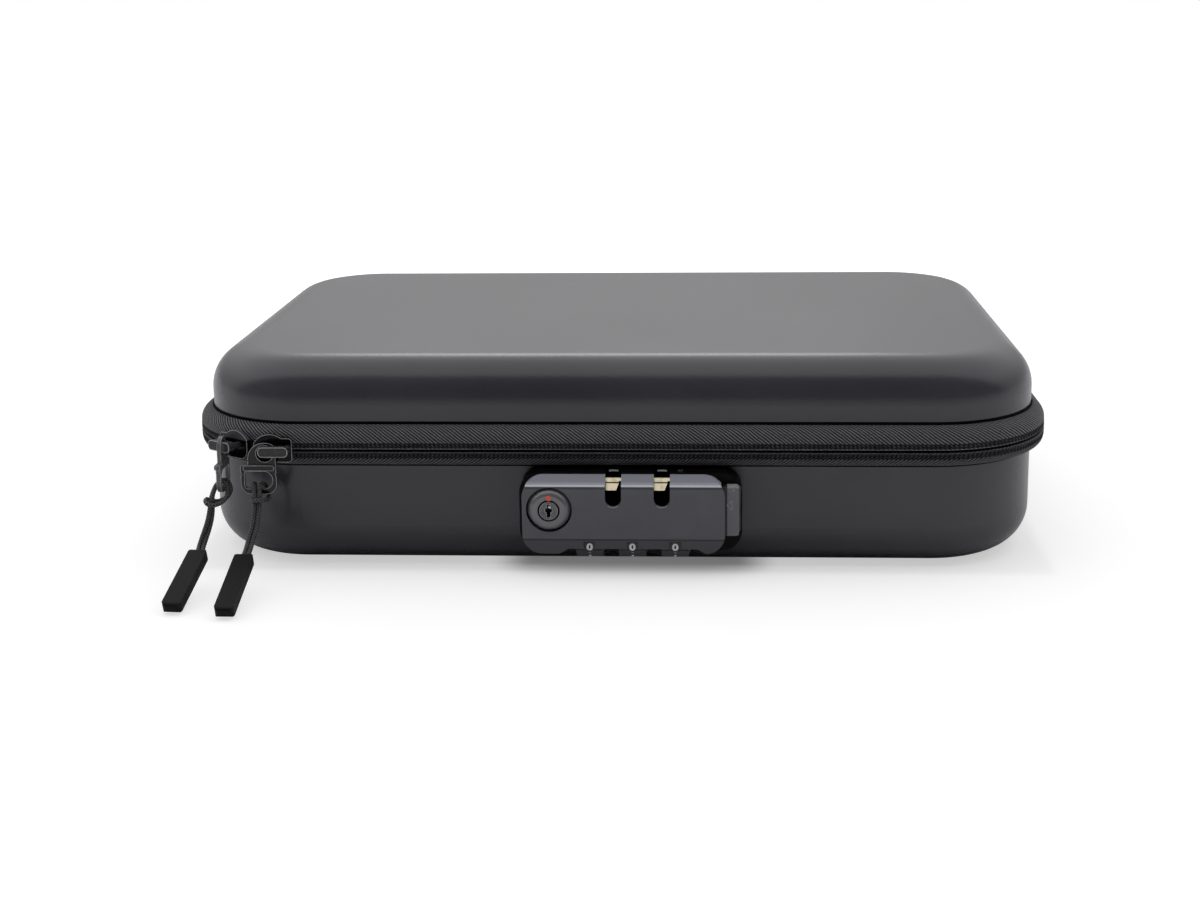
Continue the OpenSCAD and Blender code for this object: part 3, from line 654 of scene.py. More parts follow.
# A light copy for the key plug's rounded edges: painted highlight.
PLUG_GLINT = MetalFinish("key plug edge glint", "bezel_metal", (0.5, 0.5, 0.5), 0.35,
                        (0.35, 0.35, 0.35))
BRASS = MetalFinish("latch brass", "latch_brass", (0.83, 0.74, 0.53), 0.2, (0.5, 0.42, 0.26),
                    # Painted shade: a dark line in the latch's groove.
                    (Band(0.0289, 0.0293, (0.03, 0.025, 0.015)),))
STEEL = MetalFinish("spring steel", "steel")
WHITE_INK = InkFinish("dial numbers", "dial_plastic")
RED_INK = InkFinish("key mark", "bezel_metal", (0.95, 0.14, 0.1))


@dataclass
class Surface:
    """A grid of points, with its UV map, that may close on itself either way."""

    points: np.ndarray
    uv: np.ndarray | None = None
    wrap_rows: bool = False
    wrap_cols: bool = False
    cap_ends: bool = False

    def quads(self) -> tuple[np.ndarray, np.ndarray]:
        """Corner numbers of every quad, wrapped for the points and unwrapped for the UV map.

        Returns:
            Two arrays of four corners for each quad.
        """
        rows, cols = self.points.shape[:2]
        i, j = np.meshgrid(np.arange(rows if self.wrap_rows else rows - 1),
                           np.arange(cols if self.wrap_cols else cols - 1), indexing="ij")
        steps = ((0, 0), (0, 1), (1, 1), (1, 0))
        point = [((i + a) % rows) * cols + (j + b) % cols for a, b in steps]
        wide = cols + (1 if self.wrap_cols else 0)
        flat = [(i + a) * wide + (j + b) for a, b in steps]
        return (np.stack(point, -1).reshape(-1, 4), np.stack(flat, -1).reshape(-1, 4))


def add_object(name: str, data: bpy.types.ID) -> bpy.types.Object:
    """Makes an object of its data and puts it into the scene.

    Args:
        name: the object's name.
        data: its mesh, camera, lamp or text.

    Returns:
        The object.
    """
    made = bpy.data.objects.new(name, data)
    bpy.context.scene.collection.objects.link(made)
    return made


def make_mesh(name: str, surfaces: Sequence[Surface], finish: Finish, body: str,
              smooth_below: float = 40.0) -> bpy.types.Object:
    """Makes one piece from grids of points, dresses it and lets it ride on a body.

    Args:
        name: the piece's name.
        surfaces: its grids. Rows that wrap are closed, and cap_ends closes an open tube.
        finish: its finish.
        body: the body that it moves with.
        smooth_below: edges that turn by less than this many degrees are smooth.

    Returns:
        The piece.
    """
    points, faces, loops, start = [], [], [], 0
    for surface in surfaces:
        rows, cols = surface.points.shape[:2]
        corner, flat = surface.quads()
        uv = surface.uv if surface.uv is not None else np.zeros(
            (rows + surface.wrap_rows, cols + surface.wrap_cols, 2))
        faces += (corner + start).tolist()
        loops.append(uv.reshape(-1, 2)[flat.reshape(-1)])
        if surface.cap_ends:
            ring = np.arange(cols) + start
            faces += [ring[::-1].tolist(), (ring + (rows - 1) * cols).tolist()]
            loops.append(np.repeat(uv.reshape(-1, 2)[:1], 2 * cols, axis=0))
        points.append(surface.points.reshape(-1, 3))
        start += rows * cols
    mesh = bpy.data.meshes.new(name)
    mesh.from_pydata(np.concatenate(points).tolist(), [], faces)
    layer = mesh.uv_layers.new(name="UVMap")
    layer.data.foreach_set("uv", np.concatenate(loops).astype(np.float32).reshape(-1))
    return finish_mesh(name, mesh, finish, body, smooth_below)


def finish_mesh(name: str, mesh: bpy.types.Mesh, finish: Finish, body: str,
                smooth_below: float = 40.0) -> bpy.types.Object:
    """Makes an object of a mesh with outward faces, dresses it and lets it ride on a body.

    Args:
        name: the piece's name.
        mesh: its mesh.
        finish: its finish.
        body: the body that it moves with.
        smooth_below: edges that turn by less than this many degrees are smooth.

    Returns:
        The piece.
    """
    sides = bmesh.new()
    sides.from_mesh(mesh)
    bmesh.ops.recalc_face_normals(sides, faces=sides.faces)
    sides.to_mesh(mesh)
    sides.free()
    mesh.shade_smooth()
    mesh.set_sharp_from_angle(angle=math.radians(smooth_below))
    piece = add_object(name, mesh)
    piece.data.materials.append(finish.material())
    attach(piece, body)
    log.info("%s: %d faces, rides on %s", name, len(mesh.polygons), body)
    return piece


def dress(nodes: Sequence[str], finish: Finish) -> None:
    """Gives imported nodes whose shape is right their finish.

    Args:
        nodes: the nodes' names.
        finish: their finish.
    """
    for node in nodes:
        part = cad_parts[node]
        part.data.materials.clear()
        part.data.materials.append(finish.material())
        log.info("%s: dressed as %s", node, finish.name)


def merged_copy(node: str) -> bmesh.types.BMesh:
    """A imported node's mesh with its loose triangles joined and its flat faces made whole.

    Args:
        node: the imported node.

    Returns:
        The mesh, to be freed by the caller.
    """
    merged = bmesh.new()
    merged.from_mesh(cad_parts[node].data)
    bmesh.ops.remove_doubles(merged, verts=merged.verts, dist=WELD)
    bmesh.ops.dissolve_limit(merged, angle_limit=FLAT, verts=merged.verts, edges=merged.edges)
    return merged


def soften(node: str, body: str, finish: Finish, edge: float, segments: int = 2,
           name: str | None = None, worn: Finish | None = None) -> bpy.types.Object:
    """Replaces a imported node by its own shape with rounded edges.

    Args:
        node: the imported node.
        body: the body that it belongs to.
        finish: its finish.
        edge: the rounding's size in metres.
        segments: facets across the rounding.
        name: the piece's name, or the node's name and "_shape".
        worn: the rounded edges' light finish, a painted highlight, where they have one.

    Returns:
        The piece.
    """
    merged = merged_copy(node)
    mesh = bpy.data.meshes.new(node)
    merged.to_mesh(mesh)
    merged.free()
    piece = finish_mesh(name or node + "_shape", mesh, finish, body, 30.0)
    bevel = piece.modifiers.new("rounded edges", "BEVEL")
    bevel.width = edge
    bevel.segments = segments
    bevel.limit_method = "ANGLE"
    bevel.angle_limit = math.radians(30)
    bevel.use_clamp_overlap = True
    bevel.harden_normals = True
    if worn is not None:
        piece.data.materials.append(worn.material())
        bevel.material = 1
    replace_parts(piece, node)
    return piece


def worn_lines(node: str, body: str, finish: Finish, radius: float,
               below: float = 1.0) -> bpy.types.Object:
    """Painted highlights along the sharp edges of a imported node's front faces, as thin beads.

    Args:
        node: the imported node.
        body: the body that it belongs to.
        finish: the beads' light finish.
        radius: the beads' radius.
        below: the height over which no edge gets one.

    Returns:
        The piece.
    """
    merged = merged_copy(node)
    ends = [[vert.co[:] for vert in edge.verts] for edge in merged.edges
            if len(edge.link_faces) == 2 and edge.calc_face_angle() > SHARP
            and max(-face.normal.y for face in edge.link_faces) > FRONTAL
            and edge.calc_length() > SPECK and max(vert.co.z for vert in edge.verts) < below]
    merged.free()
    beads = [tube(np.linspace(*np.array(pair), 3), radius, 6) for pair in ends]
    return make_mesh(f"{node}_wear", beads, finish, body, 80.0)


def travelled(line: np.ndarray) -> np.ndarray:
    """How far along a line each of its points lies: the running sum of its steps' lengths."""
    return np.concatenate([[0], np.cumsum(np.linalg.norm(np.diff(line, axis=0), axis=1))])


def catmull(points: np.ndarray, step: float) -> np.ndarray:
    """A smooth line through points.

    Each span is the Catmull-Rom cubic of its two ends and their neighbours, and the line is
    then cut into equal steps.

    Args:
        points: the points, one a row.
        step: the length of a step in metres.

    Returns:
        The line's points.
    """
    padded = np.vstack([2 * points[0] - points[1], points, 2 * points[-1] - points[-2]])
    a, b, c, d = padded[:-3], padded[1:-2], padded[2:-1], padded[3:]
    t = np.linspace(0, 1, 24, endpoint=False)[None, :, None]
    a, b, c, d = (p[:, None, :] for p in (a, b, c, d))
    line = 0.5 * (2 * b + (c - a) * t + (2 * a - 5 * b + 4 * c - d) * t ** 2
                  + (3 * b - a - 3 * c + d) * t ** 3)
    line = np.vstack([line.reshape(-1, 3), points[-1]])
    run = travelled(line)
    even = np.linspace(0, run[-1], max(4, int(round(run[-1] / step))) + 1)
    return np.stack([np.interp(even, run, line[:, k]) for k in range(3)], -1)


def tube(line: np.ndarray, radius: float, sides: int) -> Surface:
    """A round tube along a line, whose section turns no more than the line does.

    A point is the centre line's, moved by the radius in a direction square to the line. That
    direction is the one before it with its part along the line taken out.

    Args:
        line: the centre line's points.
        radius: the tube's radius.
        sides: the points round it.

    Returns:
        The tube, with metres along it and turns round it as its UV map.
    """
    way = np.gradient(line, axis=0)
    way /= np.linalg.norm(way, axis=1)[:, None]
    side = np.empty_like(way)
    last = np.cross(way[0], [0.31, 0.27, 0.91])
    for k, direction in enumerate(way):
        last = last - direction * np.dot(last, direction)
        last /= np.linalg.norm(last)
        side[k] = last
    other = np.cross(way, side)
    turn = np.linspace(0, TAU, sides, endpoint=False)
    points = line[:, None] + radius * (np.cos(turn)[None, :, None] * side[:, None]
                                       + np.sin(turn)[None, :, None] * other[:, None])
    run = travelled(line)
    uv = np.stack(np.meshgrid(run, np.linspace(0, 1, sides + 1), indexing="ij"), -1)
    return Surface(points, uv, wrap_cols=True, cap_ends=True)


@dataclass
class Studio:
    """Camera, lamps, sky and floor.

    The room is darker where it lies lower than dark_below degrees in front of the case. The
    floor's own shade is kept from the camera by a share that floor_contact sets at the case's
    foot, floor_lift a little beside it, and 1 far away, so the floor darkens towards the case:
    partly its real shade, partly painted shade. The share is cut further in a soft rectangle
    under and before the lock, which is a painted shadow.
    """

    eye: tuple[float, float, float] = (0.0274, -0.5757, 0.1749)
    turn: float = 3.247
    tilt_down: float = 11.679
    roll: float = -0.746
    lens: float = 51.967
    shift: tuple[float, float] = (-0.0083, -0.1)
    dark_below: float = 65.0
    dark_level: float = 0.06
    back_level: float = 0.53
    room_level: float = 1.22
    floor_reach: float = 3.0
    floor_colour: Colour = (0.92, 0.92, 0.93)
    floor_lift: float = 0.46
    floor_contact: float = 0.38
    floor_glow: float = 1.4
    footprint: tuple[float, float] = (0.127, 0.083)
    # Painted shadow at the lock: its rectangle, how much glow it cuts and its soft edge.
    lock_spot: tuple[float, float] = (0.0055, -0.066)
    lock_half: tuple[float, float] = (0.03, 0.0108)
    lock_share: float = 0.7
    lock_blur: float = 0.015
    contact_blur: float = 0.006
    fade: tuple[float, float] = (0.06, 0.28)
    dark_blur: float = 0.05
    overhead: tuple[float, float] = (0.1, 0.6)

    def camera(self) -> None:
        """Stands the camera where the picture was taken."""
        data = bpy.data.cameras.new("camera")
        data.lens = self.lens
        data.sensor_width = 36.0
        data.shift_x, data.shift_y = self.shift
        data.clip_start = 0.01
        data.clip_end = 20.0
        camera = add_object("camera", data)
        turned = (Matrix.Rotation(math.radians(self.turn), 4, "Z")
                  @ Matrix.Rotation(math.radians(90 - self.tilt_down), 4, "X")
                  @ Matrix.Rotation(math.radians(self.roll), 4, "Z"))
        camera.matrix_world = Matrix.Translation(self.eye) @ turned
        bpy.context.scene.camera = camera

    def lamp(self, name: str, place: Sequence[float], aim: Sequence[float], size: Sequence[float],
             power: float) -> None:
        """Adds one soft box.

        Args:
            name: its name.
            place: where it hangs.
            aim: the point that it faces.
            size: its width and height.
            power: its power in watts.
        """
        data = bpy.data.lights.new(name, "AREA")
        data.shape = "RECTANGLE"
        data.size, data.size_y = size
        data.energy = power
        lamp = add_object(name, data)
        way = Vector(aim) - Vector(place)
        turned = way.to_track_quat("-Z", "Y").to_matrix().to_4x4()
        lamp.matrix_world = Matrix.Translation(place) @ turned

    def sky(self) -> None:
        """A pale room, white to the camera, with a dark side behind the camera."""
        world = bpy.data.worlds.new("room")
        world.use_nodes = True
        bpy.context.scene.world = world
        shade = Shade(world.node_tree)
        way = shade.node("ShaderNodeSeparateXYZ", {},
                         {0: shade.node("ShaderNodeTexCoord")["Generated"]})
        over = way["Z"] + way["Y"] * math.tan(math.radians(self.dark_below))
        room = (way["Z"].step(*self.overhead) * (self.room_level - self.back_level)
                + self.back_level)
        level = (over.step(-self.dark_blur, self.dark_blur) * (room - self.dark_level)
                 + self.dark_level)
        seen = shade.node("ShaderNodeLightPath")["Is Camera Ray"]
        strength = seen + level * (1.0 - seen)
        sky = shade.node("ShaderNodeBackground", {},
                         {"Color": (1.0, 1.0, 1.0), "Strength": strength})["Background"]
        shade.node("ShaderNodeOutputWorld", {}, {"Surface": sky})

    @staticmethod
    def beside(spot: Nodes, middle: Sequence[float], half: Sequence[float]) -> Value:
        """How far a point of the floor is from a rectangle.

        It is the root of the squares of how far the point lies past the rectangle's half width
        and past its half depth.

        Args:
            spot: the point's coordinates.
            middle: the rectangle's middle.
            half: its half width and half depth.

        Returns:
            The distance, which is 0 inside.
        """
        x, y = [((spot[axis] - centre).maths("ABSOLUTE") - reach).maths("MAXIMUM", 0.0)
                for axis, centre, reach in zip("XY", middle, half)]
        return (x * x + y * y).maths("SQRT")

    def floor(self) -> None:
        """A pale matte floor that runs on past the view."""
        reach = self.floor_reach
        corners = np.array([[[-reach, -reach, 0], [reach, -reach, 0]],
                            [[-reach, reach, 0], [reach, reach, 0]]], float)
        mesh = bpy.data.meshes.new("floor")
        mesh.from_pydata(corners.reshape(-1, 3).tolist(), [], [(0, 1, 3, 2)])
        floor = add_object("floor", mesh)
        stone = bpy.data.materials.new("floor paper")
        stone.use_nodes = True
        shade = Shade(stone.node_tree)
        paper = shade.noise(shade.place(), 40.0, 4.0)
        tint = shade.mix(paper, self.floor_colour, tuple(c * 0.97 for c in self.floor_colour))
        matte = shade.node("ShaderNodeBsdfDiffuse", {}, {"Color": tint})["BSDF"]
        glow = shade.node("ShaderNodeEmission", {},
                          {"Color": (1.0, 1.0, 1.0), "Strength": self.floor_glow})["Emission"]
        spot = shade.node("ShaderNodeSeparateXYZ", {}, {0: shade.place()})
        # Less glow near the case's foot: partly its real shade, partly painted shade round the
        # case.
        away = self.beside(spot, (0.0, 0.0), self.footprint)
        # Painted shadow under and before the lock: the glow is cut in a soft rectangle there.
        under = self.beside(spot, self.lock_spot, self.lock_half).step(0.0, self.lock_blur)
        near = away.step(0.0, self.contact_blur) * (self.floor_lift - self.floor_contact)
        open_floor = under * self.lock_share + (1.0 - self.lock_share)
        lift = shade.node("ShaderNodeLightPath")["Is Camera Ray"] * open_floor * (
            near + away.step(*self.fade) * (1.0 - self.floor_lift) + self.floor_contact)
        mixed = shade.node("ShaderNodeMixShader", {}, {0: lift, 1: matte, 2: glow})["Shader"]
        shade.node("ShaderNodeOutputMaterial", {}, {"Surface": mixed})
        floor.data.materials.append(stone)

    def build(self) -> None:
        """Sets the whole studio up."""
        scene = bpy.context.scene
        scene.view_settings.view_transform = "Standard"
        self.camera()
        self.sky()
        self.floor()
        self.lamp("left box", (-0.9, -0.35, 0.6), (0, 0, 0.03), (1.8, 1.8), 1.0)
        self.lamp("rear box", (-0.09, 1.25, 0.78), (0, 0, 0.03), (0.66, 0.3), 1.35)


@dataclass
class Plan:
    """The rounded plan of the case's walls, open or closed at the back.

    A place on it is a distance run at the wall: round the back left corner, down the left
    side, round the front left corner, along the front, and back on the right.
    """

    half_x: float
    half_y: float
    radius: float
    corner_steps: int = 28
    side_step: float = 0.004

    def runs(self) -> np.ndarray:
        """Where each stretch ends: four corners, with the left, front and right sides between."""
        arc = self.radius * math.pi / 2
        return np.cumsum([arc, 2 * self.half_y, arc, 2 * self.half_x, arc, 2 * self.half_y, arc])

    def at(self, run: np.ndarray) -> tuple[np.ndarray, np.ndarray]:
        """Finds places on the plan.

        Args:
            run: distances along the wall.

        Returns:
            The corner axis, or the point level with it, and the outward direction, for each.
        """
        ends = self.runs()
        starts = np.concatenate([[0], ends[:-1]])
        leg = np.clip(np.searchsorted(ends, run, side="right"), 0, 6)
        part = run - starts[leg]
        turned = np.array([90, 180, 180, 270, 270, 360, 360])[leg]
        angle = np.radians(turned + np.where(leg % 2 == 0, np.degrees(part / self.radius), 0))
        corner = np.array([[-1, 1], [-1, 1], [-1, -1], [-1, -1], [1, -1], [1, -1], [1, 1]])[leg]
        move = np.array([[0, 0], [0, -1], [0, 0], [1, 0], [0, 0], [0, 1], [0, 0]])[leg]
        anchor = corner * [self.half_x, self.half_y] + move * part[:, None]
        return anchor, np.stack([np.cos(angle), np.sin(angle)], -1)

    def stations(self) -> np.ndarray:
        """Distances that follow the corners closely and the sides in even steps.

        Returns:
            The distances, from the first end to the last.
        """
        ends = self.runs()
        starts = np.concatenate([[0], ends[:-1]])
        marks = [np.linspace(a, b, (self.corner_steps if k % 2 == 0
                                    else max(1, round((b - a) / self.side_step))) + 1)[:-1]
                 for k, (a, b) in enumerate(zip(starts, ends))]
        return np.concatenate([*marks, ends[-1:]])

    def carry(self, run: np.ndarray, out: np.ndarray, height: np.ndarray) -> np.ndarray:
        """Carries a section along the wall.

        A point is the plan's anchor at its station, moved outward by the corner's radius and by
        how far the point stands out, at the point's own height.

        Args:
            run: the distances of its stations.
            out: how far each of its points stands out of the wall, alike at all stations or
                one row for each.
            height: the points' heights, in the same form.

        Returns:
            A grid with a row of points for each station.
        """
        anchor, way = self.at(run)
        out, height = (np.broadcast_to(v, (len(run), v.shape[-1])) for v in (out, height))
        flat = anchor[:, None] + way[:, None] * (self.radius + out)[..., None]
        return np.concatenate([flat, height[..., None]], -1)


@dataclass
class Shells:
    """The two moulded trays with their linings and bindings."""

    def build(self) -> None:
        """Dresses the shells and what lines them."""
        dress(("lid_shell", "base_shell"), SKIN)
        dress(("lid_lining", "base_lining"), LINING)
        dress(("lid_binding", "base_binding"), BINDING)


@dataclass
class ZipBand:
    """The woven tapes, their stitching and the hinge strip."""

    plan: Plan
    bulge: float
    slit_low: float
    slit_high: float
    top: float
    bottom: float
    thick: float = 0.001
    upper_round: float = 0.0042
    lower_round: float = 0.0028
    edge_round: float = 0.00035
    edge_points: int = 5
    bead: float = 0.00012
    bead_at: float = 0.00032
    bead_half: float = 0.00022
    dip: float = 0.00016
    dip_at: float = 0.0013
    dip_half: float = 0.0006
    thread_radius: float = 0.00017
    thread_pitch: float = 0.00135
    thread_low: float = 0.00072
    thread_high: float = 0.00195
    # Radii of the near-black cords that paint the creases' shade.
    upper_welt: float = 0.0006
    lower_welt: float = 0.0005
    lip_in: float = 0.0014
    lip_out: float = 0.0006
    lip_grip: float = 0.0003
    lip_reach: float = 0.00034
    thread_end: float = 0.0008
    thread_stand: float = 0.45
    thread_dive: float = 0.00014
    fold_over: float = 0.0008

    def behind(self, out: np.ndarray, up: np.ndarray) -> tuple[np.ndarray, np.ndarray]:
        """The line one thickness behind a section's outer line, square to it at every point.

        Args:
            out: how far the outer line's points stand out of the wall.
            up: their heights.

        Returns:
            The same for the inner line.
        """
        slope = np.stack([np.gradient(out), np.gradient(up)], -1)
        slope /= np.linalg.norm(slope, axis=1)[:, None]
        return out - self.thick * slope[:, 1], up + self.thick * slope[:, 0]

    def woven(self, name: str, points: np.ndarray, along: np.ndarray, run: np.ndarray,
              finish: Finish, body: str) -> bpy.types.Object:
        """Makes one woven piece, with metres along it and round its section as its UV map.

        Args:
            name: the piece's name.
            points: a row of points for each station.
            along: the stations' distances.
            run: the section's distances round.
            finish: its finish.
            body: the body that it rides on.

        Returns:
            The piece.
        """
        around = np.concatenate([run, run[-1:] + self.thick])
        uv = np.stack(np.meshgrid(along, around, indexing="ij"), -1)
        return make_mesh(name, [Surface(points, uv, wrap_cols=True, cap_ends=True)], finish,
                         body, 50.0)

    def outline(self, height: float, bend: float) -> tuple[np.ndarray, np.ndarray, np.ndarray]:
        """The section of one tape, from the slit's edge round to its sewn edge and back inside.

        The outer line runs straight from the slit and turns in on an arc. Near the slit it has
        a bead and a shallow dip for the stitching. The inner line lies one thickness behind.

        Args:
            height: the tape's height from the slit.
            bend: the radius on which it turns in to the wall.

        Returns:
            How far each point stands out, its height over the slit, and the distance round.
        """
        straight = height - bend
        rise = np.linspace(0, straight, 26)
        start = math.acos(min(1.0, max(-1.0, (bend - self.bulge) / bend)))
        turn = np.linspace(0, start, 22)[1:]
        out = np.concatenate([np.full(rise.shape, self.bulge),
                              self.bulge - bend + bend * np.cos(turn)])
        up = np.concatenate([rise, straight + bend * np.sin(turn)])
        groove = np.exp(-((up - self.dip_at) / self.dip_half) ** 4)
        bead = np.exp(-((up - self.bead_at) / self.bead_half) ** 2)
        out = out + self.bead * bead - self.dip * groove
        keep = up > self.edge_round * 0.6
        corner = np.linspace(0, math.pi / 2, self.edge_points)
        round_out = self.bulge - self.edge_round + self.edge_round * np.sin(corner)
        round_up = self.edge_round - self.edge_round * np.cos(corner)
        out = np.concatenate([round_out, out[keep]])
        up = np.concatenate([round_up, up[keep]])
        inner_out, inner_up = self.behind(out, up)
        inner_up = np.maximum(inner_up, 0.0)
        inside = slice(None, 6, -3)
        run = travelled(np.stack([out, up], -1))
        section_out = np.concatenate([out, inner_out[inside]])
        section_up = np.concatenate([up, inner_up[inside]])
        back = run[-1] + self.thick + np.linspace(0, run[-1], len(inner_out[inside]))
        return np.maximum(section_out, 0.0), section_up, np.concatenate([run, back])

    def tape(self, name: str, node: str, body: str, finish: Finish, level: float, height: float,
             bend: float, up: float) -> None:
        """Makes one tape.

        Args:
            name: the piece's name.
            node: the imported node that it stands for.
            body: the body that it rides on.
            finish: its finish.
            level: the height of its slit edge.
            height: its height from there.
            bend: the radius on which it turns in.
            up: 1 for the upper tape, and -1 for the lower.
        """
        out, rise, run = self.outline(height, bend)
        stations = self.plan.stations()
        points = self.plan.carry(stations, out, level + up * rise)
        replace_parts(self.woven(name, points, stations, run, finish, body), node)

    def stitching(self, name: str, body: str, level: float, up: float) -> None:
        """A zigzag thread beside the slit, carried along the whole tape.

        Its height is a triangle wave of the distance run, and it sinks into the cloth by the
        cube of the wave, which is where the needle takes it down.

        Args:
            name: the piece's name.
            body: the body that it rides on.
            level: the height of the tape's slit edge.
            up: 1 for the upper tape, and -1 for the lower.
        """
        length = self.plan.runs()[-1]
        count = int(length / self.thread_pitch)
        run = np.linspace(self.thread_end, length - self.thread_end, 4 * count + 1)
        swing = 1 - 2 * np.abs((np.arange(len(run)) / 4) % 1 - 0.5) * 2
        across = (self.thread_low + self.thread_high) / 2 + swing * (
            self.thread_high - self.thread_low) / 2
        rise = level + up * across
        anchor, way = self.plan.at(run)
        lift = (self.bulge - self.dip + self.thread_radius * self.thread_stand
                - np.abs(swing) ** 3 * self.thread_dive)
        flat = anchor + way * (self.plan.radius + lift)[:, None]
        line = np.column_stack([flat, rise])
        make_mesh(name, [tube(line, self.thread_radius, 5)], THREAD, body, 80.0)

    def welt(self, name: str, body: str, level: float, radius: float) -> None:
        """A near-black cord laid in the crease between a tape and its shell, as painted shade.

        It is a circle carried along the plan.

        Args:
            name: the piece's name.
            body: the body that it rides on.
            level: its height.
            radius: its radius.
        """
        turn = np.linspace(0, TAU, 12, endpoint=False)
        points = self.plan.carry(self.plan.stations(), radius * (np.cos(turn) - 0.2),
                                 level + radius * np.sin(turn))
        make_mesh(name, [Surface(points, wrap_cols=True, cap_ends=True)], JOINT_SHADE, body, 80.0)

    def lip(self, name: str, body: str, level: float, up: float) -> None:
        """The coil's edge that fills one half of the slit, a little behind the tape's face.

        It is a rectangle carried along the plan, and its near-black paints the slit's shade.

        Args:
            name: the piece's name.
            body: the body that it rides on.
            level: the height of the tape's slit edge.
            up: 1 for the upper half, and -1 for the lower.
        """
        out = self.bulge - np.array([self.lip_in, self.lip_in, self.lip_out, self.lip_out])
        rise = np.array([self.lip_grip, -self.lip_reach, -self.lip_reach, self.lip_grip])
        points = self.plan.carry(self.plan.stations(), out, level + up * rise)
        make_mesh(name, [Surface(points, wrap_cols=True, cap_ends=True)], JOINT_SHADE, body)

    def hinge(self) -> None:
        """The strip that joins the two tapes along the back.

        Its section is the lower tape's outer line run backwards and then the upper tape's, with
        the inner line behind them, and it runs straight along X.
        """
        upper_out, upper_up, _ = self.outline(self.top - self.slit_high, self.upper_round)
        lower_out, lower_up, _ = self.outline(self.slit_low - self.bottom, self.lower_round)
        outer_up = 1 + int(np.argmax(upper_up))
        outer_low = 1 + int(np.argmax(lower_up))
        edge = self.edge_points
        out = np.concatenate([lower_out[edge:outer_low][::-1], upper_out[edge:outer_up]])
        rise = np.concatenate([self.slit_low - lower_up[edge:outer_low][::-1],
                               self.slit_high + upper_up[edge:outer_up]])
        inner_out, inner_up = self.behind(out, rise)
        section_out = np.concatenate([out, np.maximum(inner_out, 0.0)[::-1]])
        section_up = np.concatenate([rise, inner_up[::-1]])
        low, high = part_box("hinge_strip")
        across = np.linspace(high.x, low.x, 90)
        points = np.empty((len(across), len(section_out), 3))
        points[..., 0] = across[:, None]
        points[..., 1] = (self.plan.half_y + self.plan.radius + section_out)[None]
        points[..., 2] = section_up[None]
        run = travelled(np.stack([section_out, section_up], -1))
        strip = self.woven("hinge_cloth", points, across, run, TWILL_HINGE, "base")
        strip.parent = None
        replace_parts(strip, "hinge_strip")
        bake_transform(strip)

    def build(self) -> None:
        """Makes the tapes, the stitching and the hinge, and dresses the coils."""
        self.tape("upper_tape", "zip_tape_upper", "lid", TWILL_UPPER, self.slit_high,
                  self.top - self.slit_high, self.upper_round, 1.0)
        self.tape("lower_tape", "zip_tape_lower", "base", TWILL_SHADED_LOWER, self.slit_low,
                  self.slit_low - self.bottom, self.lower_round, -1.0)
        self.stitching("upper_stitching", "lid", self.slit_high, 1.0)
        self.stitching("lower_stitching", "base", self.slit_low, -1.0)
        self.lip("upper_lip", "lid", self.slit_high, 1.0)
        self.lip("lower_lip", "base", self.slit_low, -1.0)
        # Near-black cords in the creases: painted shade.
        self.welt("upper_welt", "lid", self.top + self.upper_welt * 0.3, self.upper_welt)
        self.welt("lower_welt", "base", self.bottom - self.lower_welt * 0.8, self.lower_welt)
        self.hinge()
        dress(("zip_coil_upper", "zip_coil_lower"), COIL)


@dataclass
class Pull:
    """One cord pull: a looped cord on its puller, with a moulded tag on its ends.

    The route's points are x from the left front corner's axis, distance out of the front wall,
    z and half the distance between the two strands, in millimetres, from the tag to the bight.
    """

    place: str
    corner: float
    wall: float
    route: list[tuple[float, float, float, float]]
    twist: float = 0.0
    twist_from: int = 2
    twist_over: int = 6
    radius: float = 0.00065
    tag_edge: float = 0.0006

    def strand(self, side: float) -> np.ndarray:
        """One strand's points.

        Args:
            side: the side of the pair that it runs on, -1 or 1.

        Returns:
            Its points, from the tag to the bight.
        """
        route = np.array(self.route) * MM
        turn = np.clip((np.arange(len(route)) - self.twist_from) / self.twist_over, 0, 1)
        turn = np.radians(self.twist * turn)
        way = np.stack([np.cos(turn), np.sin(turn), np.zeros(len(turn))], -1)
        middle = np.stack([self.corner + route[:, 0], self.wall - route[:, 1], route[:, 2]], -1)
        return middle + side * route[:, 3:4] * way

    def build(self) -> None:
        body = f"{self.place}_pull"
        tag = soften(f"pull_tag_{self.place}", body, RUBBER, self.tag_edge, 3,
                     f"{self.place}_tag")
        points = np.vstack([self.strand(-1.0), self.strand(1.0)[-2::-1]])
        line = catmull(points, 0.0003)
        cord = make_mesh(f"{self.place}_cord", [tube(line, self.radius, 12)], BRAID, body, 80.0)
        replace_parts(cord, f"pull_cord_{self.place}")


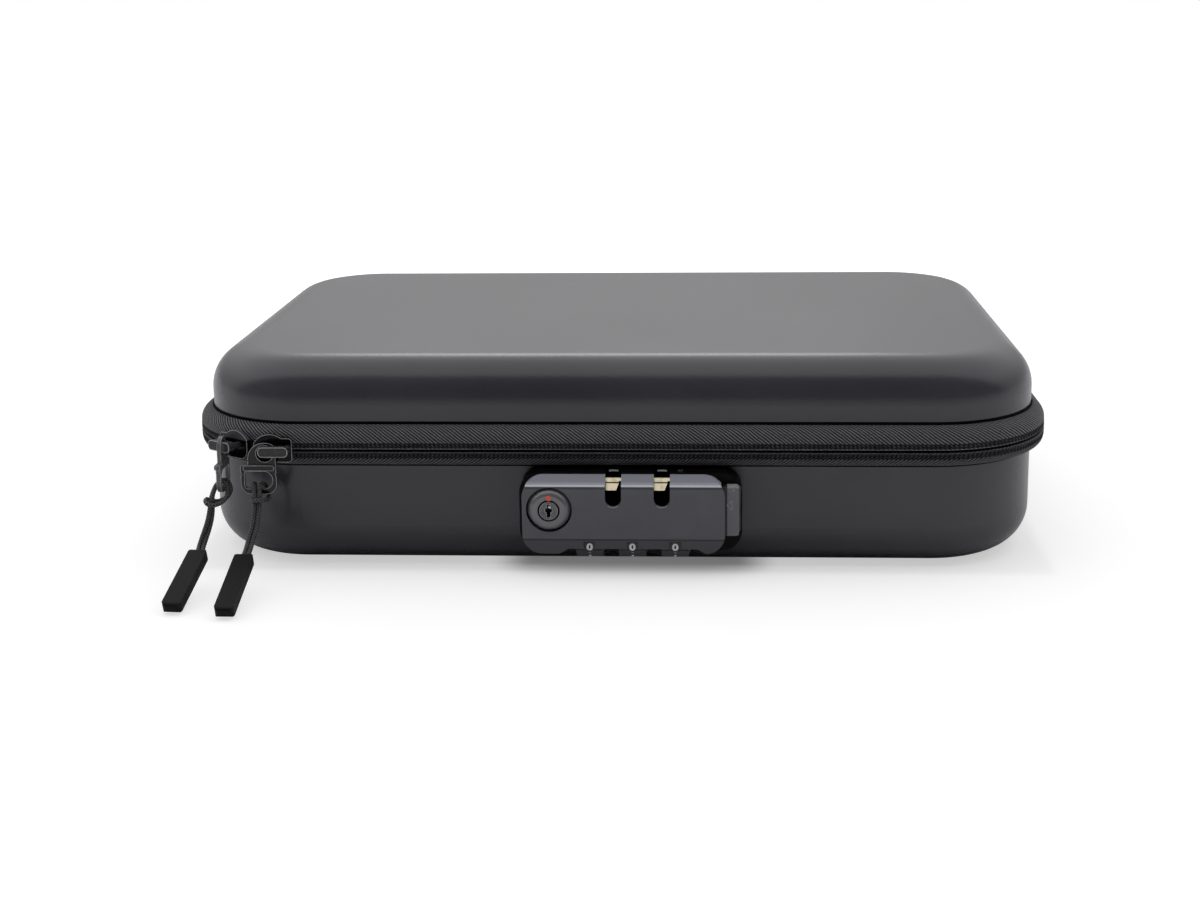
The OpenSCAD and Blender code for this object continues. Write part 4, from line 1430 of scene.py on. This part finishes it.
@dataclass
class Sliders:
    """The two zip sliders with their crowns and pullers."""

    edge: float = 0.0003
    # wear is the radius of the light beads that paint highlights on the sharp front edges.
    wear: float = 0.00011

    def build(self) -> None:
        """Rounds the edges of every slider piece."""
        for place, plate, puller, below in (("front", ENAMEL_SHADED, ENAMEL, 1.0),
                                            ("corner", ENAMEL_LIT_TOP, ENAMEL_LIT_SIDE, 0.0365)):
            soften(f"slider_{place}", f"{place}_slider", plate, self.edge, 2, worn=ENAMEL_GLINT)
            soften(f"crown_{place}", f"{place}_slider", ENAMEL_LIT_BRIDGE, self.edge * 1.4, 2,
                   worn=ENAMEL_GLINT)
            soften(f"puller_{place}", f"{place}_puller", puller, self.edge, 2, worn=ENAMEL_GLINT)
            # Light beads along the sharp front edges: painted highlights.
            worn_lines(f"slider_{place}", f"{place}_slider", ENAMEL_GLINT, self.wear)
            worn_lines(f"crown_{place}", f"{place}_slider", ENAMEL_GLINT, self.wear * 1.3)
            worn_lines(f"puller_{place}", f"{place}_puller", ENAMEL_GLINT, self.wear, below)


@dataclass
class Lock:
    """The combination lock on the front wall."""

    wall: float
    cover_edge: float = 0.00028
    wire: float = 0.00018
    spring_turns: int = 6
    latch_travel: float = 0.0035
    body_edge: float = 0.0003
    digit_height: float = 0.0021
    digit_slim: float = 1.2
    digit_thicken: float = 0.00013
    first_digit_angle: float = -10.5
    ring_crown: float = 0.0043
    ring_deep: float = 0.0015
    ring_lip: float = 0.001
    seal_wide: float = 0.00048
    mark_rise: float = 0.0037
    mark_radius: float = 0.00095
    pin_spot: tuple[float, float] = (0.0003, 0.0012)
    pin_radius: float = 0.00045
    button_spot: tuple[float, float] = (0.0352, 0.0278)
    arrow: tuple[tuple[float, float], ...] = (
        (0.0333, 0.0232), (0.0348, 0.0246), (0.0348, 0.0218), (0.0333, 0.0232))
    arrow_line: float = 0.00014
    slots: tuple[tuple[float, float], ...] = ((0.000335, 0.0252), (0.014485, 0.0252))
    slot_radius: float = 0.00235
    lip_radius: float = 0.0002
    catch_half: float = 0.0014
    catch_out: float = 0.0052
    catch_radius: float = 0.0003
    names: tuple[str, ...] = ("first", "second", "third")
    fine_edge: float = 0.00014
    button_edge: float = 0.0003
    dial_edge: float = 0.00015
    ink_thick: float = 0.00002
    ink_stand: float = 0.00003
    ring_play: float = 0.00005
    ring_mouth: float = 0.00015
    seal_sunk: float = 0.0004
    seal_play: float = 0.00001
    seal_shoulder: float = 0.00005
    seal_slope: float = 0.0001
    seal_rise: float = 0.00012
    seal_back: float = 0.0001
    mark_sunk: float = 0.0004
    mark_high: float = 0.0008
    pin_out: float = 0.0001
    pin_high: float = 0.0002
    dot_sunk: float = 0.00002
    dot_radius: float = 0.0003
    dot_high: float = 0.00012
    catch_sunk: float = 0.00012
    catch_arch: float = 0.00008
    arrow_sunk: float = 0.00004

    def housing(self) -> None:
        """The body, cover, key plug, latch, button, steel parts and spring."""
        soften("lock_body", "base", BODY, self.body_edge, 2)
        soften("lock_cover", "base", COVER, self.cover_edge, 3)
        soften("key_plug", "key_lock", PLUG, self.fine_edge, 2, worn=PLUG_GLINT)
        soften("latch_bar", "latch", BRASS, self.fine_edge, 2)
        soften("release_button", "latch", BUTTON, self.button_edge, 3)
        dress(("dial_spindle", "detent_spring", "reset_pin", "lock_backplate",
               "lock_screws", "dial_sleeve_1", "dial_sleeve_2", "dial_sleeve_3"), STEEL)
        dress(("key_cam",), BRASS)
        self.spring()

    def spring(self) -> None:
        """The latch's return spring.

        Its wire is a helix: it turns on a circle in Y and Z as it runs evenly along X.
        """
        low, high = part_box("return_spring")
        middle, reach = (low + high) / 2, (high.z - low.z) / 2 - self.wire
        part = np.linspace(0, 1, 181)
        turn = TAU * self.spring_turns * part
        line = np.stack([low.x + self.wire + (high.x - low.x - 2 * self.wire) * part,
                         middle.y + reach * np.cos(turn), middle.z + reach * np.sin(turn)], -1)
        coil = make_mesh("latch_spring", [tube(line, self.wire, 8)], STEEL, "base", 80.0)
        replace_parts(coil, "return_spring")
        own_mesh(coil)

    def digits(self, order: int) -> None:
        """Prints ten numbers round one dial.

        Each is a flat text: its height becomes an angle round the dial's axis, and its
        thickness is added to the dial's radius.

        Args:
            order: the dial's place from the left, from 0.
        """
        node = f"dial_{order + 1}"
        low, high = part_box(node)
        centre = (low + high) / 2
        radius = (high.z - low.z) / 2
        shape = soften(node, f"{self.names[order]}_dial", DIAL, self.dial_edge, 2)
        marks = bmesh.new()
        for number in range(10):
            text = bpy.data.curves.new(f"number_{number}", "FONT")
            text.body = str(number)
            text.align_x = "CENTER"
            text.align_y = "CENTER"
            text.size = self.digit_height / FIGURE_SHARE
            text.extrude = self.ink_thick
            text.offset = self.digit_thicken
            text.resolution_u = 3
            holder = add_object("number", text)
            flat = bpy.data.meshes.new_from_object(holder)
            bpy.data.objects.remove(holder)
            co = np.empty(len(flat.vertices) * 3, np.float32)
            flat.vertices.foreach_get("co", co)
            co = co.reshape(-1, 3)
            angle = math.radians(self.first_digit_angle - 36 * number) + co[:, 1] / radius
            reach = radius + self.ink_stand + co[:, 2]
            placed = np.stack([centre.x + co[:, 0] * self.digit_slim,
                               centre.y - reach * np.cos(angle),
                               centre.z + reach * np.sin(angle)], -1)
            flat.vertices.foreach_set("co", placed.astype(np.float32).reshape(-1))
            marks.from_mesh(flat)
        mesh = bpy.data.meshes.new(f"{self.names[order]}_numbers")
        marks.to_mesh(mesh)
        marks.free()
        finish_mesh(f"{self.names[order]}_numbers", mesh, WHITE_INK, f"{self.names[order]}_dial")
        log.info("%s has its numbers", shape.name)

    def marks(self) -> None:
        """The key's domed ring and seal, the red dot over it and the bright pin in the keyway.

        The ring's slope moves in by a power of the share run and rises by a power of its sine.
        """
        low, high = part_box("key_bezel")
        centre = (low + high) / 2
        face, foot, outer = low.y, high.y, (high.x - low.x) / 2
        plug = (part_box("key_plug")[1].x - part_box("key_plug")[0].x) / 2
        bend = np.linspace(0, 1, 12)
        slope = np.stack([outer + (self.ring_crown - outer) * bend ** 1.15,
                          (high.y - low.y) - self.ring_lip - self.ring_deep
                          + (self.ring_lip + self.ring_deep)
                          * np.sin(bend * math.pi / 2) ** 0.9], -1)
        ring = np.vstack([[[plug + self.ring_play, 0.0], [outer, 0.0]], slope,
                          [[plug + self.ring_mouth, high.y - low.y],
                           [plug + self.ring_play, high.y - low.y]]])
        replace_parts(self.lathe("key_ring", centre, foot, ring, BEZEL, "base"), "key_bezel")
        inner, rim = plug - self.seal_wide, plug - self.seal_play
        seal = np.array([[inner, -self.seal_sunk], [rim, -self.seal_sunk],
                         [rim, self.seal_shoulder], [plug - self.seal_slope, self.seal_rise],
                         [inner, self.seal_rise]])
        self.lathe("key_seal", centre, face + self.seal_back, seal, SEAL, "key_lock")
        self.dome("key_mark", (centre.x, face + self.mark_sunk, centre.z + self.mark_rise),
                  self.mark_radius, self.mark_high, RED_INK, "base")
        self.dome("key_pin", (centre.x + self.pin_spot[0], face - self.pin_out,
                              centre.z + self.pin_spot[1]), self.pin_radius, self.pin_high,
                  STEEL, "key_lock")
        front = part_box("release_button")[0].y
        self.dome("button_dot", (self.button_spot[0], front + self.dot_sunk,
                                 self.button_spot[1]), self.dot_radius, self.dot_high, LIGHT_LINES,
                  "latch")

    def lips(self) -> None:
        """Painted highlights: each slot's lower lip, its catch on the body's top, and the arrow.

        A lip is an arc round the slot's end, a catch is a line that arches by a cosine, and
        the arrow's sides are straight.
        """
        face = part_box("lock_cover")[0].y
        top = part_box("lock_body")[1].z
        for order, (x, z) in enumerate(self.slots):
            turn = np.radians(np.linspace(-128, -52, 15))
            reach = self.slot_radius + self.lip_radius * 0.4
            line = np.stack([x + reach * np.cos(turn), np.full(15, face + self.lip_radius * 0.35),
                             z + reach * np.sin(turn)], -1)
            make_mesh(f"{self.names[order]}_slot_lip", [tube(line, self.lip_radius, 10)], LIGHT_LINES,
                      "base", 80.0)
            across = np.linspace(-self.catch_half, self.catch_half, 15)
            arch = self.catch_arch * np.cos(across / self.catch_half * math.pi / 2)
            line = np.stack([x + across, np.full(15, self.wall - self.catch_out),
                             top - self.catch_sunk + arch], -1)
            make_mesh(f"{self.names[order]}_catch", [tube(line, self.catch_radius, 10)], LIGHT_LINES,
                      "base", 80.0)
        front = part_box("release_button")[0].y
        corners = np.array(self.arrow)
        for order, (one, other) in enumerate(zip(corners[:-1], corners[1:])):
            part = one + (other - one) * np.linspace(0, 1, 9)[:, None]
            line = np.stack([part[:, 0], np.full(9, front + self.arrow_sunk), part[:, 1]], -1)
            make_mesh(f"{self.names[order]}_arrow_line", [tube(line, self.arrow_line, 8)], LIGHT_LINES,
                      "latch", 80.0)

    def lathe(self, name: str, centre: Vector, foot: float, profile: np.ndarray, finish: Finish,
              body: str) -> bpy.types.Object:
        """A closed profile turned round an axis that points to the front.

        Args:
            name: the piece's name.
            centre: a point of the axis.
            foot: the y from which the profile's heights are measured, towards the front.
            profile: rows of radius and height.
            finish: its finish.
            body: the body that it rides on.

        Returns:
            The piece.
        """
        turn = np.linspace(0, TAU, 96, endpoint=False)
        points = np.empty((len(turn), len(profile), 3))
        points[..., 0] = centre.x + np.cos(turn)[:, None] * profile[None, :, 0]
        points[..., 1] = foot - profile[None, :, 1]
        points[..., 2] = centre.z + np.sin(turn)[:, None] * profile[None, :, 0]
        return make_mesh(name, [Surface(points, wrap_rows=True, wrap_cols=True)], finish, body)

    def dome(self, name: str, place: Sequence[float], radius: float, height: float,
             finish: Finish, body: str) -> None:
        """A flat dome that faces the front: circles that shrink as a quarter wave rises.

        Args:
            name: the piece's name.
            place: the middle of its foot.
            radius: its foot's radius.
            height: how far it stands out.
            finish: its finish.
            body: the body that it rides on.
        """
        rise = np.linspace(0, math.pi / 2 * 0.96, 6)
        turn = np.linspace(0, TAU, 20, endpoint=False)
        ring = radius * np.cos(rise)
        points = np.empty((len(rise), len(turn), 3))
        points[..., 0] = place[0] + ring[:, None] * np.cos(turn)[None]
        points[..., 1] = place[1] - height * np.sin(rise)[:, None]
        points[..., 2] = place[2] + ring[:, None] * np.sin(turn)[None]
        make_mesh(name, [Surface(points, wrap_cols=True, cap_ends=True)], finish, body)

    def build(self) -> None:
        """Makes the whole lock."""
        self.housing()
        for order in range(len(self.names)):
            self.digits(order)
        self.marks()
        self.lips()


FRONT_ROUTE = [
    (-12.35, 22.9, 9.05, 0.68), (-12.3, 20, 10, 0.68), (-12.2, 17.2, 11.1, 0.68),
    (-11.9, 14.9, 13.2, 0.68), (-11.2, 13.2, 16.1, 0.68), (-10.75, 12, 19, 0.68),
    (-10.6, 10.9, 21.7, 0.68), (-10.7, 9.7, 24, 0.68), (-10.9, 8.6, 26, 0.75),
    (-11, 7.9, 27.4, 0.85), (-11, 6.7, 28, 1.1), (-10.8, 5.4, 27.4, 1.5),
    (-10.6, 4.8, 26, 1.8), (-10.5, 4.9, 24.7, 2), (-10.4, 5.8, 23.8, 2.1),
    (-10.4, 7.4, 23.5, 2.1), (-10.4, 9.2, 23.7, 2.1), (-10.4, 10.6, 24.1, 1.6),
    (-10.4, 11.2, 24.3, 0.9), (-10.4, 11.3, 24.3, 0),
]
CORNER_ROUTE = [
    (-26.95, 19.3, 9.05, 0.68), (-26.8, 16.4, 10, 0.68), (-26.7, 14.4, 11.4, 0.68),
    (-26.2, 13, 13.4, 0.68), (-25.5, 12, 15.7, 0.68), (-24.9, 11.2, 18, 0.68),
    (-24.5, 10.6, 20.4, 0.68), (-24.35, 10.1, 22.6, 0.68), (-24.3, 9.2, 24.7, 0.68),
    (-24, 7.2, 26.5, 0.7), (-23.4, 5.6, 27.8, 0.75), (-22.3, 4.8, 28.4, 0.85),
    (-20.9, 4.8, 27.7, 1.1), (-20.3, 5, 26.2, 1.6), (-20.2, 5.6, 24.8, 2),
    (-20.8, 6.8, 23.6, 2.1), (-22, 8.2, 22.9, 2.1), (-23.4, 9.4, 22.8, 2.1),
    (-24.8, 10, 23.2, 2), (-25.6, 10, 23.7, 1.4), (-25.9, 9.9, 24, 0.7), (-25.95, 9.9, 24, 0),
]


def main() -> None:
    """Builds the studio and the case."""
    logging.basicConfig(level=logging.INFO, format="%(name)s: %(message)s")
    Studio().build()
    low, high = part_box("lid_shell")
    tape_low, tape_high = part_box("zip_tape_upper")
    lower_low, lower_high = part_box("zip_tape_lower")
    wall = low.y
    plan = Plan(high.x - CORNER_RADIUS, high.y - CORNER_RADIUS, CORNER_RADIUS)
    Pull("front", -plan.half_x, wall, FRONT_ROUTE).build()
    Pull("corner", -plan.half_x, wall, CORNER_ROUTE, twist=90.0).build()
    Shells().build()
    ZipBand(plan, tape_high.x - high.x, lower_high.z, tape_low.z, tape_high.z,
            lower_low.z).build()
    Sliders().build()
    Lock(wall).build()


if __name__ == "__main__":
    main()
